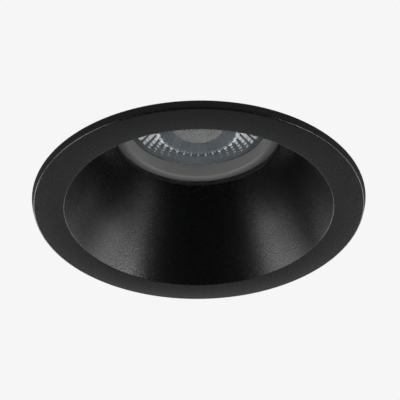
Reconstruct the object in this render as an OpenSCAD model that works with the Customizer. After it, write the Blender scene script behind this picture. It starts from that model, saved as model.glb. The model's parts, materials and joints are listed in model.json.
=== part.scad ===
// Recessed soffit downlight: a twist-off trim with a deep anti-glare cone, a mounting ring and lamp cage
// held in the soffit by two sprung clips, a twist-lock LED lamp, and a terminal box with a hinged lid.
// The soffit's underside is the plane z = 0. The trim hangs below it and everything else stands above.

/* [Trim] */
// Width of the flange outside its gasket
flange_rim = 1.2; // [1:0.1:6]
// Height of the flange's outer edge
flange_edge_h = 2.3; // [2.1:0.1:3.4]
// How far the flange's edge leans in towards the front face
flange_draft = 0.65; // [0.2:0.05:1]
// Depth of the cone, from the front face to its small end
cone_depth = 27.4; // [24:0.2:32]
// Thickness of the cone's wall
cone_wall = 1.4; // [1:0.1:1.6]
// How far the lip reaches in over the lamp's edge
lip_cover = 0.9; // [0.5:0.1:3]
// How far the cone's small end stays outside the lip
lip_step = 0.35; // [0.2:0.05:1]
// Height of the lip above the cone's small end
lip_h = 0.8; // [0.5:0.1:1.5]
// Wall thickness of the bayonet skirt
skirt_t = 1.1; // [0.9:0.1:1.4]
// Height of the bayonet skirt above the soffit
skirt_h = 8; // [7.4:0.2:10]
// Angle that the trim turns to unlock
trim_twist = 18; // [12:1:30]

/* [Seals] */
// Width of the foam gasket under the soffit
gasket_w = 1.8; // [1.2:0.1:1.8]
// Thickness of the foam gasket
gasket_t = 1.4; // [1:0.1:1.5]
// Thickness of the silicone seal under the lamp's face
seal_t = 0.4; // [0.3:0.1:1]

/* [Mounting ring] */
// Room beside the cage for a folded clip, out to the surface of the ring's cylinder
clip_room = 8.8; // [8.6:0.1:10]
// Wall thickness of the cylinder
ring_wall = 0.9; // [0.8:0.1:1.1]
// How far the ring's flange stands out past its cylinder
ring_flange_w = 3.1; // [2:0.1:3.1]
// Height of the cylinder above the soffit
ring_h = 12; // [11:0.5:13]
// Diameter of the bayonet lugs
lug_d = 3; // [2.4:0.1:3.4]

/* [Lamp cage] */
// Air gap between the lamp and the cage
air_gap = 4.7; // [4.4:0.1:5.4]
// Thickness of its sheet steel
sheet_t = 0.8; // [0.6:0.1:1]
// Width of a window
window_w = 12; // [8:0.5:12]
// Height of a window
window_h = 26; // [16:1:28]

/* [Sprung clips] */
// Angle that the arms hang below level when they are free
arm_rest = 35; // [30:1:37]
// Length of an arm from its pivot
arm_len = 31; // [26:1:34]
// Width of an arm
arm_w = 9.6; // [9:0.2:10]
// Thickness of the arm's spring steel
arm_t = 0.8; // [0.6:0.1:1]
// Diameter of the pivot pins
pivot_d = 2.5; // [2:0.1:2.8]
// Wire diameter of the torsion springs
wire_d = 1; // [0.7:0.1:1]
// Distance from one spring turn to the next
coil_pitch = 1.45; // [1.45:0.05:1.6]

/* [Lamp] */
// Diameter of the lamp
lamp_d = 50; // [49.4:0.1:50.4]
// Length of the lamp from its face to its cap, without the pins
lamp_len = 47.5; // [46:0.5:52]
// Number of cooling fins
fin_count = 24; // [12:2:30]
// Number of ribs on the lens
lens_ribs = 36; // [24:2:40]
// Distance between the lamp's two pins
pin_spacing = 10; // [9.5:0.1:10.5]
// Angle that the lamp turns to unlock
lamp_twist = 30; // [25:1:40]

/* [Terminal box] */
// Length of the box
box_l = 50; // [49:0.5:52]
// Width of the box
box_w = 34; // [33:0.5:37]
// Inside height of the box
box_h = 14; // [14:0.5:18]
// Wall thickness of the box
box_wall = 1.6; // [1.2:0.1:2]
// Bore of the cable grommet
cable_d = 7.2; // [6:0.1:7.6]

/* [Hidden] */
$fn = 64;

// Clearances and small sizes that several pieces share
fit = 0.05;          // radial clearance of a pin in its hole
slack = 0.3;         // gap between pieces that move past each other
eps = 0.01;          // overlap that keeps a cut clean
corner_steps = 4;    // flats in a rounded corner

// Colours
black = [0.07, 0.07, 0.07];
rubber = [0.13, 0.13, 0.14];
zinc = [0.72, 0.74, 0.75];
steel = [0.62, 0.63, 0.65];
cast_metal = [0.68, 0.69, 0.7];
ceramic_white = [0.93, 0.92, 0.88];
lamp_white = [0.9, 0.9, 0.89];
brass = [0.78, 0.64, 0.35];

// --- Levels of the trim, from the front face up ---
edge_gap = 0.4;                                  // the flange's back edge to the soffit
face_z = -(edge_gap + flange_edge_h);            // the flange's front face
recess_floor = -(edge_gap + 0.8);                // floor of the recess over the ring's flange
ring_flange_t = -recess_floor - slack;           // the ring's flange fills the recess
lamp_r = lamp_d / 2;
cage_in_r = lamp_r + air_gap;
cage_r = cage_in_r + sheet_t;
spigot_r = cage_r + clip_room;                   // an 80 mm hole takes it
ring_in_r = spigot_r - ring_wall;
ring_flange_r = spigot_r + ring_flange_w;
recess_r = ring_flange_r + slack;
groove_in_r = recess_r + 0.8;
groove_out_r = groove_in_r + gasket_w;
flange_r = groove_out_r + flange_rim;
groove_floor = -gasket_t;
skirt_out_r = ring_in_r - slack;
skirt_in_r = skirt_out_r - skirt_t;
mouth_r = skirt_out_r - 0.7;                     // the cone starts just inside the skirt
lip_r = lamp_r - lip_cover;
throat_r = lip_r + lip_step;
cone_slope = (mouth_r - throat_r) / cone_depth;
cone_wall_r = cone_wall * sqrt(1 + cone_slope * cone_slope);
cone_top = face_z + cone_depth;
lip_top = cone_top + lip_h;
function cone_out_z(r) = face_z + (mouth_r + cone_wall_r - r) / cone_slope;
function cone_out_r(z) = mouth_r + cone_wall_r - (z - face_z) * cone_slope;

// --- The lamp and what holds it ---
lamp_z = lip_top + seal_t + 0.1;                 // the lamp's face
ledge_out_r = lamp_r + 2.1;                      // the flat ledge that carries the seal
cap_z = lamp_z + lamp_len;
holder_z = cap_z + slack;
holder_h = 12.4;
holder_screw_head_r = 2.7;
holder_screw_recess = 2.4;                       // the screws' heads lie sunk in the holder's face
holder_l = 30;
holder_w = 17;
holder_top = holder_z + holder_h;
face_plate_t = 2.6;                              // the ceramic over the pins' heads
pin_shank_d = 3;
pin_head_d = 4.8;
pin_shank_h = slack + face_plate_t + slack;
pin_head_h = 3.2;
pin_r = pin_spacing / 2;
slot_side = 0.2;                                 // room beside a pin in its slot
holder_hole_x = 11;
m3_r = 1.5;
bridge_t = 1;
bridge_drop = 1.8;                               // how far the bridge dips below the cage's top

// --- The cage ---
cage_inside_z = holder_top + bridge_t + bridge_drop;
cage_top = cage_inside_z + sheet_t;
foot_r = cage_r + 5;
land_t = 1.4;
land_z = cone_out_z(cage_in_r - slack);          // where the cone is just narrow enough for the cage
land_in_r = cone_out_r(land_z - land_t) + slack;
land_out_r = foot_r + 0.4;
cage_screw_r = cage_r + 2.9;
window_z = cage_inside_z - 12 - window_h;
lead_hole_r = 7;

// --- The clips ---
pad_x = cage_r + 0.3;                            // flat pad on the cage
bracket_t = 1;
coil_r = (pivot_d + wire_d) / 2 + 0.25;          // mean radius of the coil
pivot_x = pad_x + bracket_t + coil_r + wire_d / 2 + slack;
pivot_z = land_z + 6.4;
arm_off = coil_r + wire_d / 2 + slack;           // from the pivot to the arm's inner face
ear_t = 1;
arm_ear_t = 0.8;
ear_in = arm_w / 2 + 0.5;                        // inner face of a bracket ear
bracket_w = 2 * (ear_in + ear_t);
bracket_top = pivot_z + 12;
coil_turns = 3 + (90 - arm_rest) / 360;
coil_steps = 8;                                  // rings in one turn
tail_fixed = 7;
tail_moving = 11;
rivet_d = 2.4;
rivet_z = bracket_top - 3;
rivet_y = 3.7;
arm_tip_w = arm_w - 2;
sleeve_t = 0.6;

// --- The terminal box, which stands on the cage ---
box_z = cage_top;
box_floor = box_z + box_wall;
box_top = box_floor + box_h;
box_corner = 4;
hinge_y = -box_w / 2 - 2.2;
hinge_z = box_top + 0.2;
lid_t = 1.8;
lid_lip_h = 2.8;
trunnion_r = 1.25;
block_x = -box_l / 2 + box_wall + 0.6;
block_l = 13;
pole_pitch = 9;
block_h = 9;
pole_z = box_floor + 3.4;
grommet_in_r = cable_d / 2 + 1;
grommet_out_r = grommet_in_r + 0.7;
cable_z = box_floor + grommet_out_r + 0.1;
clamp_x = box_l / 2 - box_wall - 7;
clamp_post_y = cable_d / 2 + 3.6;
clamp_bar_h = 3.6;
clamp_hole_z = box_floor + 1;
earth_at = [6.5, 6 - box_w / 2];
box_screw_at = [[box_l / 2 - box_wall - 3, box_wall + 2.8 - box_w / 2], [-4.6, box_w / 2 - 4.6]];
entry_half = grommet_out_r + 1.8;                // half the width of the plate that carries the grommet
entry_tongue = 0.9;                              // how far the plate's edges reach into their grooves
grommet_flange_r = lead_hole_r + 1.4;

// --- Outlines ---

// Points of an arc about c, from angle a to angle b
function arc(c, r, a, b, n = corner_steps) =
    [for (i = [0:n]) let (t = a + (b - a) * i / n) [c[0] + r * cos(t), c[1] + r * sin(t)]];

// The angle from u to v, between -180 and 180
function turn(u, v) = atan2(u[0] * v[1] - u[1] * v[0], u[0] * v[0] + u[1] * v[1]);

function unit(v) = v / norm(v);

// A polygon's corners [x, y, radius], each rounded by a tangent arc
function rounded(pts, n = corner_steps) = [
    for (i = [0:len(pts) - 1])
        let (
            p = [pts[i][0], pts[i][1]],
            a = pts[(i + len(pts) - 1) % len(pts)],
            b = pts[(i + 1) % len(pts)],
            r = len(pts[i]) > 2 ? pts[i][2] : 0,
            u = unit([a[0], a[1]] - p),
            v = unit([b[0], b[1]] - p),
            half = abs(turn(u, v)) / 2,
            c = p + unit(u + v) * r / sin(half),
            from = p + u * r / tan(half) - c,
            sweep = turn(from, p + v * r / tan(half) - c)
        )
            each (r > 0 ? [
                for (k = [0:n])
                    let (t = atan2(from[1], from[0]) + sweep * k / n)
                        c + r * [cos(t), sin(t)]
            ] : [p])
];

// A solid turned from a profile of [radius, height, rounding] corners
module turned(profile) {
    rotate_extrude() polygon(rounded(profile));
}

// A plate of a rounded rectangle centred on the origin, from z to z + h
module plate(l, w, corner, z, h) {
    translate([0, 0, z])
        linear_extrude(h)
            polygon(rounded([
                [-l / 2, -w / 2, corner], [l / 2, -w / 2, corner],
                [l / 2, w / 2, corner], [-l / 2, w / 2, corner]
            ]));
}

// A plate with half-round ends, l long over all
module stadium(l, w, z, h) {
    translate([0, 0, z])
        linear_extrude(h) {
            square([l - w, w], center = true);
            for (side = [-1, 1]) translate([side * (l - w) / 2, 0]) circle(d = w);
        }
}

// A sector of a ring, from angle a over sweep degrees
module ring_sector(r_in, r_out, z, h, a, sweep) {
    rotate([0, 0, a])
        rotate_extrude(angle = sweep)
            translate([r_in, z]) square([r_out - r_in, h]);
}

// A pan-head screw pointing down, with its head's underside at z = 0 and a cross-slot
module screw(shank_r, shank_l, head_r, head_h) {
    difference() {
        union() {
            translate([0, 0, -shank_l]) cylinder(r = shank_r, h = shank_l + eps);
            turned([[0, 0], [head_r, 0], [head_r, head_h, head_h * 0.55], [0, head_h]]);
        }
        translate([0, 0, head_h * 0.75])
            for (a = [0, 90])
                rotate([0, 0, a]) cube([head_r * 1.1, head_r * 0.28, head_h], center = true);
    }
}

// --- Tubes swept along a path ---

// The tangent at point i of a path
function tangent(path, i) =
    unit(path[min(i + 1, len(path) - 1)] - path[max(i - 1, 0)]);

// One closed tube of diameter d along a path that never runs parallel to Y
module tube(path, d, sides) {
    n = len(path);
    points = [
        for (i = [0:n - 1])
            let (
                t = tangent(path, i),
                side = unit(cross(t, [0, 1, 0])),
                up = cross(side, t)
            )
                for (j = [0:sides - 1])
                    path[i] + d / 2 * (cos(360 * j / sides) * side + sin(360 * j / sides) * up)
    ];
    walls = [
        for (i = [0:n - 2], j = [0:sides - 1])
            let (
                k = (j + 1) % sides,
                a = i * sides + j,
                b = i * sides + k
            )
                each [[a, b + sides, a + sides], [a, b, b + sides]]
    ];
    caps = [
        for (j = [1:sides - 2])
            each [[0, j + 1, j], [(n - 1) * sides, (n - 1) * sides + j, (n - 1) * sides + j + 1]]
    ];
    polyhedron(points, concat(walls, caps));
}

// A smooth path through points, with a few steps between each pair
function through(pts, steps) = concat(
    [
        for (i = [0:len(pts) - 2], k = [0:steps - 1])
            let (
                a = pts[max(i - 1, 0)],
                b = pts[i],
                c = pts[i + 1],
                d = pts[min(i + 2, len(pts) - 1)],
                t = k / steps
            )
                (2 * b + (c - a) * t + (2 * a - 5 * b + 4 * c - d) * t * t
                    + (3 * b - a - 3 * c + d) * t * t * t) / 2
    ],
    [pts[len(pts) - 1]]
);

// The least gap that a path's own points leave beside the wire, past the near neighbours
function least_gap(path, d, apart) =
    min([
        for (i = [0:len(path) - 1 - apart], j = [i + apart:len(path) - 1])
            norm(path[i] - path[j])
    ]) - d;

// --- Trim: flange and cone in one casting, with a bayonet skirt ---

lug_z = 4.6;
lug_in_r = skirt_in_r + 0.25;
slot_h = lug_d + 0.2;
lug_half = asin((lug_d / 2 + 0.15) / skirt_in_r);

module bayonet_slot() {
    floor_z = lug_z - slot_h / 2;
    difference() {
        ring_sector(skirt_in_r - 0.25, skirt_out_r + 0.25, floor_z, skirt_h,
            -lug_half, trim_twist + 2 * lug_half);
        ring_sector(skirt_in_r - 1, skirt_out_r + 1, floor_z + slot_h, skirt_h,
            -2 * lug_half, trim_twist + lug_half);
    }
}

module trim_ring() {
    color(black)
        difference() {
            turned([
                [mouth_r, face_z, 0.3],
                [flange_r - flange_draft, face_z, 0.45],
                [flange_r, -edge_gap, 0.3],
                [groove_out_r, -edge_gap],
                [groove_out_r, groove_floor],
                [groove_in_r, groove_floor],
                [groove_in_r, -edge_gap],
                [recess_r, -edge_gap],
                [recess_r, recess_floor],
                [skirt_out_r, recess_floor],
                [skirt_out_r, skirt_h, 0.3],
                [skirt_in_r, skirt_h, 0.3],
                [skirt_in_r, cone_out_z(skirt_in_r)],
                [ledge_out_r, cone_out_z(ledge_out_r)],
                [ledge_out_r, lip_top, 0.3],
                [lip_r, lip_top, 0.15],
                [lip_r, cone_top, 0.15],
                [throat_r, cone_top]
            ]);
            for (a = [30:120:270]) rotate([0, 0, a]) bayonet_slot();
        }
}

module soffit_gasket() {
    color(rubber)
        turned([
            [groove_in_r + fit, groove_floor], [groove_out_r - fit, groove_floor],
            [groove_out_r - fit, 0, 0.3], [groove_in_r + fit, 0, 0.3]
        ]);
}

module lamp_seal() {
    seal_out_r = ledge_out_r - 0.6;
    color(rubber)
        turned([
            [lip_r + 0.1, lip_top], [seal_out_r, lip_top],
            [seal_out_r, lip_top + seal_t, 0.1], [lip_r + 0.1, lip_top + seal_t, 0.1]
        ]);
}

// --- Mounting ring: a cast ring that the springs pull up against the soffit ---

module at_cage_screws() {
    for (a = [90:120:330]) rotate([0, 0, a]) translate([cage_screw_r, 0, 0]) children();
}

module mounting_ring() {
    boss_r = 2.1;
    boss_z = cone_out_z(cage_screw_r - boss_r - slack);
    color(cast_metal)
        difference() {
            union() {
                turned([
                    [spigot_r, 0],
                    [ring_flange_r, 0, 0.2],
                    [ring_flange_r, -ring_flange_t, 0.2],
                    [ring_in_r, -ring_flange_t, 0.2],
                    [ring_in_r, ring_h - 0.6, 1],
                    [land_out_r - 1.2, land_z - land_t, 0.8],
                    [land_in_r, land_z - land_t],
                    [land_in_r, land_z],
                    [land_out_r, land_z, 0.8],
                    [spigot_r, ring_h, 1]
                ]);
                for (a = [30:120:270])
                    rotate([0, 0, a])
                        translate([lug_in_r, 0, lug_z])
                            rotate([0, 90, 0]) cylinder(d = lug_d, h = ring_in_r - lug_in_r + ring_wall / 2);
                at_cage_screws()
                    translate([0, 0, boss_z]) cylinder(r = boss_r, h = land_z - land_t / 2 - boss_z);
            }
            at_cage_screws() translate([0, 0, land_z - 6]) cylinder(r = m3_r + fit, h = 7);
        }
}

// --- Lamp cage: a drawn steel can with windows, flat pads for the clips and a closed top ---

module at_bracket_rivets() {
    for (y = [-rivet_y, rivet_y]) translate([pad_x, y, rivet_z]) rotate([0, 90, 0]) children();
}

module window() {
    translate([0, 0, window_z + window_w / 2])
        rotate([0, 90, 0]) cylinder(d = window_w, h = cage_r + 2);
    translate([0, -window_w / 2, window_z + window_w / 2])
        cube([cage_r + 2, window_w, window_h - window_w]);
    translate([0, 0, window_z + window_h - window_w / 2])
        rotate([0, 90, 0]) cylinder(d = window_w, h = cage_r + 2);
}

module cage_pad() {
    pad_w = bracket_w + 1;
    pad_z = land_z + sheet_t;
    pad_h = bracket_top - pad_z + 0.6;
    difference() {
        translate([cage_in_r - 4, -pad_w / 2, pad_z]) cube([pad_x - cage_in_r + 4, pad_w, pad_h]);
        translate([cage_in_r - 5, -pad_w / 2 + sheet_t, pad_z + sheet_t])
            cube([pad_x - sheet_t - cage_in_r + 5, pad_w - 2 * sheet_t, pad_h - 2 * sheet_t]);
    }
}

module lamp_cage() {
    color(zinc)
        difference() {
            union() {
                turned([
                    [cage_in_r, land_z],
                    [foot_r, land_z, 0.2],
                    [foot_r, land_z + sheet_t, 0.2],
                    [cage_r, land_z + sheet_t],
                    [cage_r, cage_top, 2.4],
                    [lead_hole_r, cage_top],
                    [lead_hole_r, cage_inside_z],
                    [cage_in_r, cage_inside_z, 1.6]
                ]);
                for (side = [0, 1])
                    mirror([side, 0, 0])
                        difference() {
                            cage_pad();
                            translate([0, 0, land_z]) cylinder(r = cage_in_r - 1, h = 30);
                            translate([0, 0, land_z])
                                intersection() {
                                    cylinder(r = cage_in_r, h = 30);
                                    translate([0, -bracket_w, 0]) cube([cage_r + 9, 2 * bracket_w, 30]);
                                }
                        }
            }
            for (a = [0:90:270]) rotate([0, 0, a]) window();
            for (side = [0, 1])
                mirror([side, 0, 0]) {
                    translate([cage_in_r - 5, -bracket_w / 2 + 0.3, land_z + 2 * sheet_t])
                        cube([pad_x - sheet_t - cage_in_r + 5, bracket_w - 0.6, bracket_top - land_z - 2 * sheet_t]);
                    at_bracket_rivets() translate([0, 0, -3]) cylinder(d = rivet_d + 2 * fit, h = 4);
                    // Notch in the foot where the arm swings past
                    translate([pad_x, -bracket_w / 2 - 1, land_z - 1]) cube([8, bracket_w + 2, sheet_t + 1 + eps]);
                }
            at_cage_screws() translate([0, 0, land_z - 1]) cylinder(r = m3_r + fit, h = 3);
            at_top_holes() cylinder(r = m3_r + fit, h = 3);
            translate([earth_at[0], earth_at[1], cage_top - 2]) cylinder(r = 2 + fit, h = 3);
            for (p = box_screw_at) translate([p[0], p[1], cage_top - 2]) cylinder(r = m3_r + fit, h = 3);
        }
}

// The bridge's two rivets in the cage's top
module at_top_holes() {
    for (x = [-1, 1]) translate([x * (holder_l / 2 + 5.5), 0, cage_inside_z - 1]) children();
}

module cage_screws() {
    color(steel) at_cage_screws() translate([0, 0, land_z + sheet_t]) screw(m3_r, 4, 2.5, 1.7);
}

// --- Clips: a bracket, a pin, a torsion spring and a swinging arm on each side ---

// The height of a resting arm's outer face above x
function arm_under_z(x) =
    pivot_z - (arm_off + arm_t) / cos(arm_rest) - (x - pivot_x) * tan(arm_rest);

module bracket_ear() {
    rotate([90, 0, 0])
        linear_extrude(ear_t)
            hull() {
                translate([pivot_x, pivot_z]) circle(r = 3, $fn = 32);
                translate([pad_x, pivot_z - 3.6]) square([bracket_t, 9]);
            }
}

module clip_bracket() {
    tab_l = 1.4;
    tab_z = arm_under_z(pad_x + bracket_t + tab_l) - 0.1;
    bottom = tab_z - bracket_t;
    color(zinc)
        difference() {
            union() {
                translate([pad_x, -bracket_w / 2, bottom])
                    cube([bracket_t, bracket_w, bracket_top - bottom]);
                translate([pad_x, -arm_w / 2, bottom]) cube([bracket_t + tab_l, arm_w, bracket_t]);
                for (y = [-ear_in, ear_in + ear_t]) translate([0, y, 0]) bracket_ear();
            }
            translate([pivot_x, 0, pivot_z])
                rotate([90, 0, 0]) cylinder(d = pivot_d + 2 * fit, h = 40, center = true);
            at_bracket_rivets() translate([0, 0, -1]) cylinder(d = rivet_d + 2 * fit, h = 4);
        }
}

module bracket_rivets() {
    head_r = 2;
    color(steel)
        at_bracket_rivets() {
            translate([0, 0, -sheet_t - 0.6]) cylinder(d = rivet_d, h = sheet_t + 0.6 + bracket_t + eps);
            translate([0, 0, -sheet_t - 0.7]) cylinder(r = head_r - 0.2, h = 0.7);
            translate([0, 0, bracket_t])
                turned([[0, 0], [head_r, 0], [head_r, 0.9, 0.6], [0, 0.9]]);
        }
}

module clip_pivot() {
    half = ear_in + ear_t + 0.1;
    color(steel)
        translate([pivot_x, 0, pivot_z])
            rotate([90, 0, 0]) {
                cylinder(d = pivot_d, h = 2 * half + 2 * eps, center = true);
                for (side = [0, 1])
                    mirror([0, 0, side])
                        translate([0, 0, half])
                            turned([
                                [0, 0], [pivot_d / 2 + 0.8, 0],
                                [pivot_d / 2 + 0.8, 0.8, 0.4], [0, 0.8]
                            ]);
            }
}

// The spring's wire, about the pivot: down the bracket, round the pin, and out along the arm
spring_path = concat(
    [for (z = [tail_fixed, tail_fixed / 2]) [-coil_r, -coil_pitch * coil_turns / 2, z]],
    [
        for (i = [0:round(coil_turns * coil_steps)])
            let (
                share = i / round(coil_turns * coil_steps),
                a = 180 + 360 * coil_turns * share
            )
                [coil_r * cos(a), coil_pitch * coil_turns * (share - 0.5), coil_r * sin(a)]
    ],
    [
        for (s = [tail_moving / 2, tail_moving])
            [
                -coil_r * sin(arm_rest) + s * cos(arm_rest),
                coil_pitch * coil_turns / 2,
                -coil_r * cos(arm_rest) - s * sin(arm_rest)
            ]
    ]
);

echo(least_gap_of_torsion_spring_mm = least_gap(spring_path, wire_d, 4));

module torsion_spring() {
    color(steel) translate([pivot_x, 0, pivot_z]) tube(spring_path, wire_d, 6);
}

// Children are drawn along +X from the pivot and swung down to the arm's resting angle
module on_arm() {
    translate([pivot_x, 0, pivot_z]) rotate([0, arm_rest, 0]) children();
}

tip_r = 3.5;
tip_turn = 70;
straight_l = arm_len - tip_r * sin(tip_turn);

module clip_arm() {
    inner = -arm_off;
    outer = -arm_off - arm_t;
    heel = -0.4;
    color(steel)
        on_arm()
            difference() {
                union() {
                    // Blade with a turned-up tip, narrowed towards the tip
                    intersection() {
                        rotate([90, 0, 0])
                            linear_extrude(arm_w, center = true)
                                polygon(concat(
                                    [[heel, outer]],
                                    arc([straight_l, outer + tip_r + arm_t], tip_r + arm_t, -90, tip_turn - 90, 8),
                                    arc([straight_l, outer + tip_r + arm_t], tip_r, tip_turn - 90, -90, 8),
                                    [[heel, inner]]
                                ));
                        translate([0, 0, outer - 1])
                            linear_extrude(12)
                                polygon(rounded([
                                    [heel - 1, -arm_w / 2], [8, -arm_w / 2, 3], [13, -arm_tip_w / 2, 3],
                                    [arm_len + 3, -arm_tip_w / 2], [arm_len + 3, arm_tip_w / 2],
                                    [13, arm_tip_w / 2, 3], [8, arm_w / 2, 3], [heel - 1, arm_w / 2]
                                ]));
                    }
                    // Ears round the pin
                    for (y = [-arm_w / 2 + arm_ear_t, arm_w / 2])
                        translate([0, y, 0])
                            rotate([90, 0, 0])
                                linear_extrude(arm_ear_t)
                                    hull() {
                                        circle(d = pivot_d + 2.4, $fn = 32);
                                        translate([heel, outer]) square([7.6, arm_t]);
                                    }
                }
                rotate([90, 0, 0]) cylinder(d = pivot_d + 2 * fit, h = 40, center = true);
                // Slot that lightens the blade
                translate([11, 0, outer - 1]) {
                    cylinder(d = 2.6, h = 4);
                    translate([0, -1.3, 0]) cube([4, 2.6, 4]);
                    translate([4, 0, 0]) cylinder(d = 2.6, h = 4);
                }
            }
}

module arm_sleeve() {
    sleeve_l = 8.4;
    start = straight_l - sleeve_l - 0.2;
    mid = -arm_off - arm_t / 2;
    color(rubber)
        on_arm()
            translate([start, 0, mid])
                rotate([0, 90, 0])
                    difference() {
                        plate(arm_t + 2 * sleeve_t, arm_tip_w + 2 * sleeve_t, 0.5, 0, sleeve_l);
                        translate([-arm_t / 2 - fit, -arm_tip_w / 2 - fit, -1])
                            cube([arm_t + 2 * fit, arm_tip_w + 2 * fit, sleeve_l + 2]);
                    }
}

// --- Lamp, drawn from its face at z = 0 ---

bezel_face_w = 3.8;              // width of the bezel's face
bezel_lip_r = lamp_r - bezel_face_w;
bezel_in_r = lamp_r - 2.2;
bezel_h = 6.6;
lens_seat_z = 4.2;               // how deep the lens sits behind the lamp's face
lens_flange_t = 1.2;
led_z = 13.4;                    // the LED board under the lens
sink_floor = led_z + 1.2;
sink_end = lamp_len - 7.5;
driver_r = 8.5;
cap_sleeve_z = sink_end - 6;     // the cap's sleeve reaches down to the driver

module lamp_bezel() {
    face_edge = 2.4;             // a fine step runs round the face, this far from the edge
    color([0.62, 0.63, 0.62])
        translate([0, 0, lamp_z])
            turned([
                [bezel_lip_r - 0.25, lens_seat_z],
                [bezel_lip_r, 0.3, 0.2],
                [bezel_lip_r + 0.5, 0, 0.2],
                [lamp_r - face_edge - 0.2, 0, 0.1],
                [lamp_r - face_edge, 0.2, 0.1],
                [lamp_r - 0.4, 0.2, 0.2],
                [lamp_r, 0.6, 0.2],
                [lamp_r, bezel_h - 0.8, 0.5],
                [lamp_r - 0.9, bezel_h],
                [bezel_in_r, bezel_h],
                [bezel_in_r, lens_seat_z]
            ]);
}

module lamp_lens() {
    back = lens_seat_z + lens_flange_t;
    centre_r = 7.6;              // honeycomb disc at the floor of the crater
    centre_z = 2.5;
    crest_r = 11.5;              // the crater's crest
    crest_z = 0.8;
    crest_half = 0.4;
    base_r = 7.5;
    wall_r = bezel_lip_r - 1.2;
    depth = led_z - 0.6;
    color([0.8, 0.85, 0.88, 0.5])
        translate([0, 0, lamp_z]) {
            turned([
                [0, centre_z],
                [centre_r, centre_z, 0.3],
                [crest_r - crest_half, crest_z, 0.3],
                [crest_r + crest_half, crest_z, 0.3],
                [bezel_lip_r - 0.5, lens_seat_z + fit, 1],
                [bezel_in_r - fit, lens_seat_z + fit],
                [bezel_in_r - fit, back],
                [wall_r, back],
                [base_r, depth],
                [base_r - 3, depth],
                [base_r - 3.8, depth - 3.6, 0.6],
                [0, depth - 4.4]
            ]);
            // Ribs down the outside of the collimator
            for (i = [0:lens_ribs - 1])
                rotate([90, 0, 360 * i / lens_ribs])
                    linear_extrude(0.7, center = true)
                        polygon([
                            [wall_r - 2, back - 0.2], [wall_r + 0.5, back - 0.2],
                            [wall_r + 0.5, back + 0.6], [base_r + 0.5, depth - 0.4], [base_r - 1, depth - 0.4]
                        ]);
        }
}

module led_module() {
    board_r = 9.5;
    translate([0, 0, lamp_z]) {
        color([0.9, 0.9, 0.88]) translate([0, 0, led_z]) cylinder(r = board_r, h = 1.2);
        color([0.9, 0.75, 0.2])
            translate([0, 0, led_z - 0.9]) cylinder(r1 = 2.9, r2 = 3.4, h = 0.9 + eps);
    }
}

module lamp_heatsink() {
    rim_r = bezel_in_r - fit;
    rim_z = lens_seat_z + lens_flange_t + fit;
    neck_r = 11.5;
    color(lamp_white)
        translate([0, 0, lamp_z])
            difference() {
                union() {
                    turned([
                        [0, sink_floor - 6],
                        [rim_r - 1.6, rim_z],
                        [rim_r, rim_z],
                        [rim_r, bezel_h + 1],
                        [15.5, 21, 3],
                        [neck_r, sink_end],
                        [0, sink_end]
                    ]);
                    for (i = [0:fin_count - 1])
                        rotate([90, 0, 360 * i / fin_count])
                            linear_extrude(1.1, center = true)
                                polygon([
                                    [neck_r - 3, 9], [rim_r - 3, bezel_h + fit], [lamp_r - 0.5, bezel_h + fit],
                                    [lamp_r - 0.9, 16], [lamp_r - 3.4, 26], [neck_r + 2.6, sink_end - 1],
                                    [neck_r - 3, sink_end - 1]
                                ]);
                }
                // Cup for the lens and the LED board
                translate([0, 0, rim_z - eps]) cylinder(r1 = rim_r - 1.4, r2 = 10.2, h = sink_floor - rim_z);
                translate([0, 0, led_z - 0.2]) cylinder(r = 9.5 + fit, h = sink_floor - led_z + 0.2);
                // Chamber for the driver
                translate([0, 0, sink_floor + 3]) cylinder(r = driver_r, h = lamp_len);
            }
}

module driver_board() {
    foot = sink_floor + 4;
    board_h = cap_sleeve_z - 0.2 - foot;
    board_w = 2 * (driver_r - 0.9);        // some play at both edges of its chamber
    translate([0, 0, lamp_z + foot]) {
        color([0.15, 0.4, 0.2]) translate([-board_w / 2, -0.6, 0]) cube([board_w, 1.2, board_h]);
        color([0.2, 0.2, 0.22]) translate([-3.4, -5.4, 2]) cube([6.8, 4.8, 6.6]);
        color([0.3, 0.3, 0.34]) translate([0, 3.1, board_h - 10]) cylinder(d = 5, h = 9);
    }
}

module lamp_cap() {
    color(lamp_white)
        translate([0, 0, lamp_z])
            turned([
                [driver_r - 1.6, cap_sleeve_z], [driver_r - fit, cap_sleeve_z],
                [driver_r - fit, sink_end], [11.5, sink_end],
                [10.6, lamp_len - 1], [9.8, lamp_len, 0.4], [0, lamp_len],
                [0, lamp_len - 2.4], [driver_r - 1.6, lamp_len - 2.4]
            ]);
}

module lamp_pins() {
    color(zinc)
        for (y = [-pin_r, pin_r])
            translate([0, y, cap_z]) {
                cylinder(d = pin_shank_d, h = pin_shank_h + eps);
                translate([0, 0, pin_shank_h])
                    turned([[0, 0], [pin_head_d / 2, 0], [pin_head_d / 2, pin_head_h, 0.8], [0, pin_head_h]]);
            }
}

// --- Lampholder: a ceramic block with two keyhole slots, hung from a bridge under the cage's top ---

cavity_z = holder_z + face_plate_t;
cavity_h = pin_head_h + 2.4;

// Room for something of radius r on the pins' circle, over the twist
module pin_track(r, z, h) {
    open = 90 - lamp_twist;
    translate([0, 0, z])
        linear_extrude(h)
            polygon(concat(
                arc([0, 0], pin_r + r, open, 90, 6),
                arc([0, pin_r], r, 90, 270, 12),
                arc([0, 0], pin_r - r, 90, open, 6),
                arc(pin_r * [cos(open), sin(open)], r, open - 180, open, 12)
            ));
}

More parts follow.
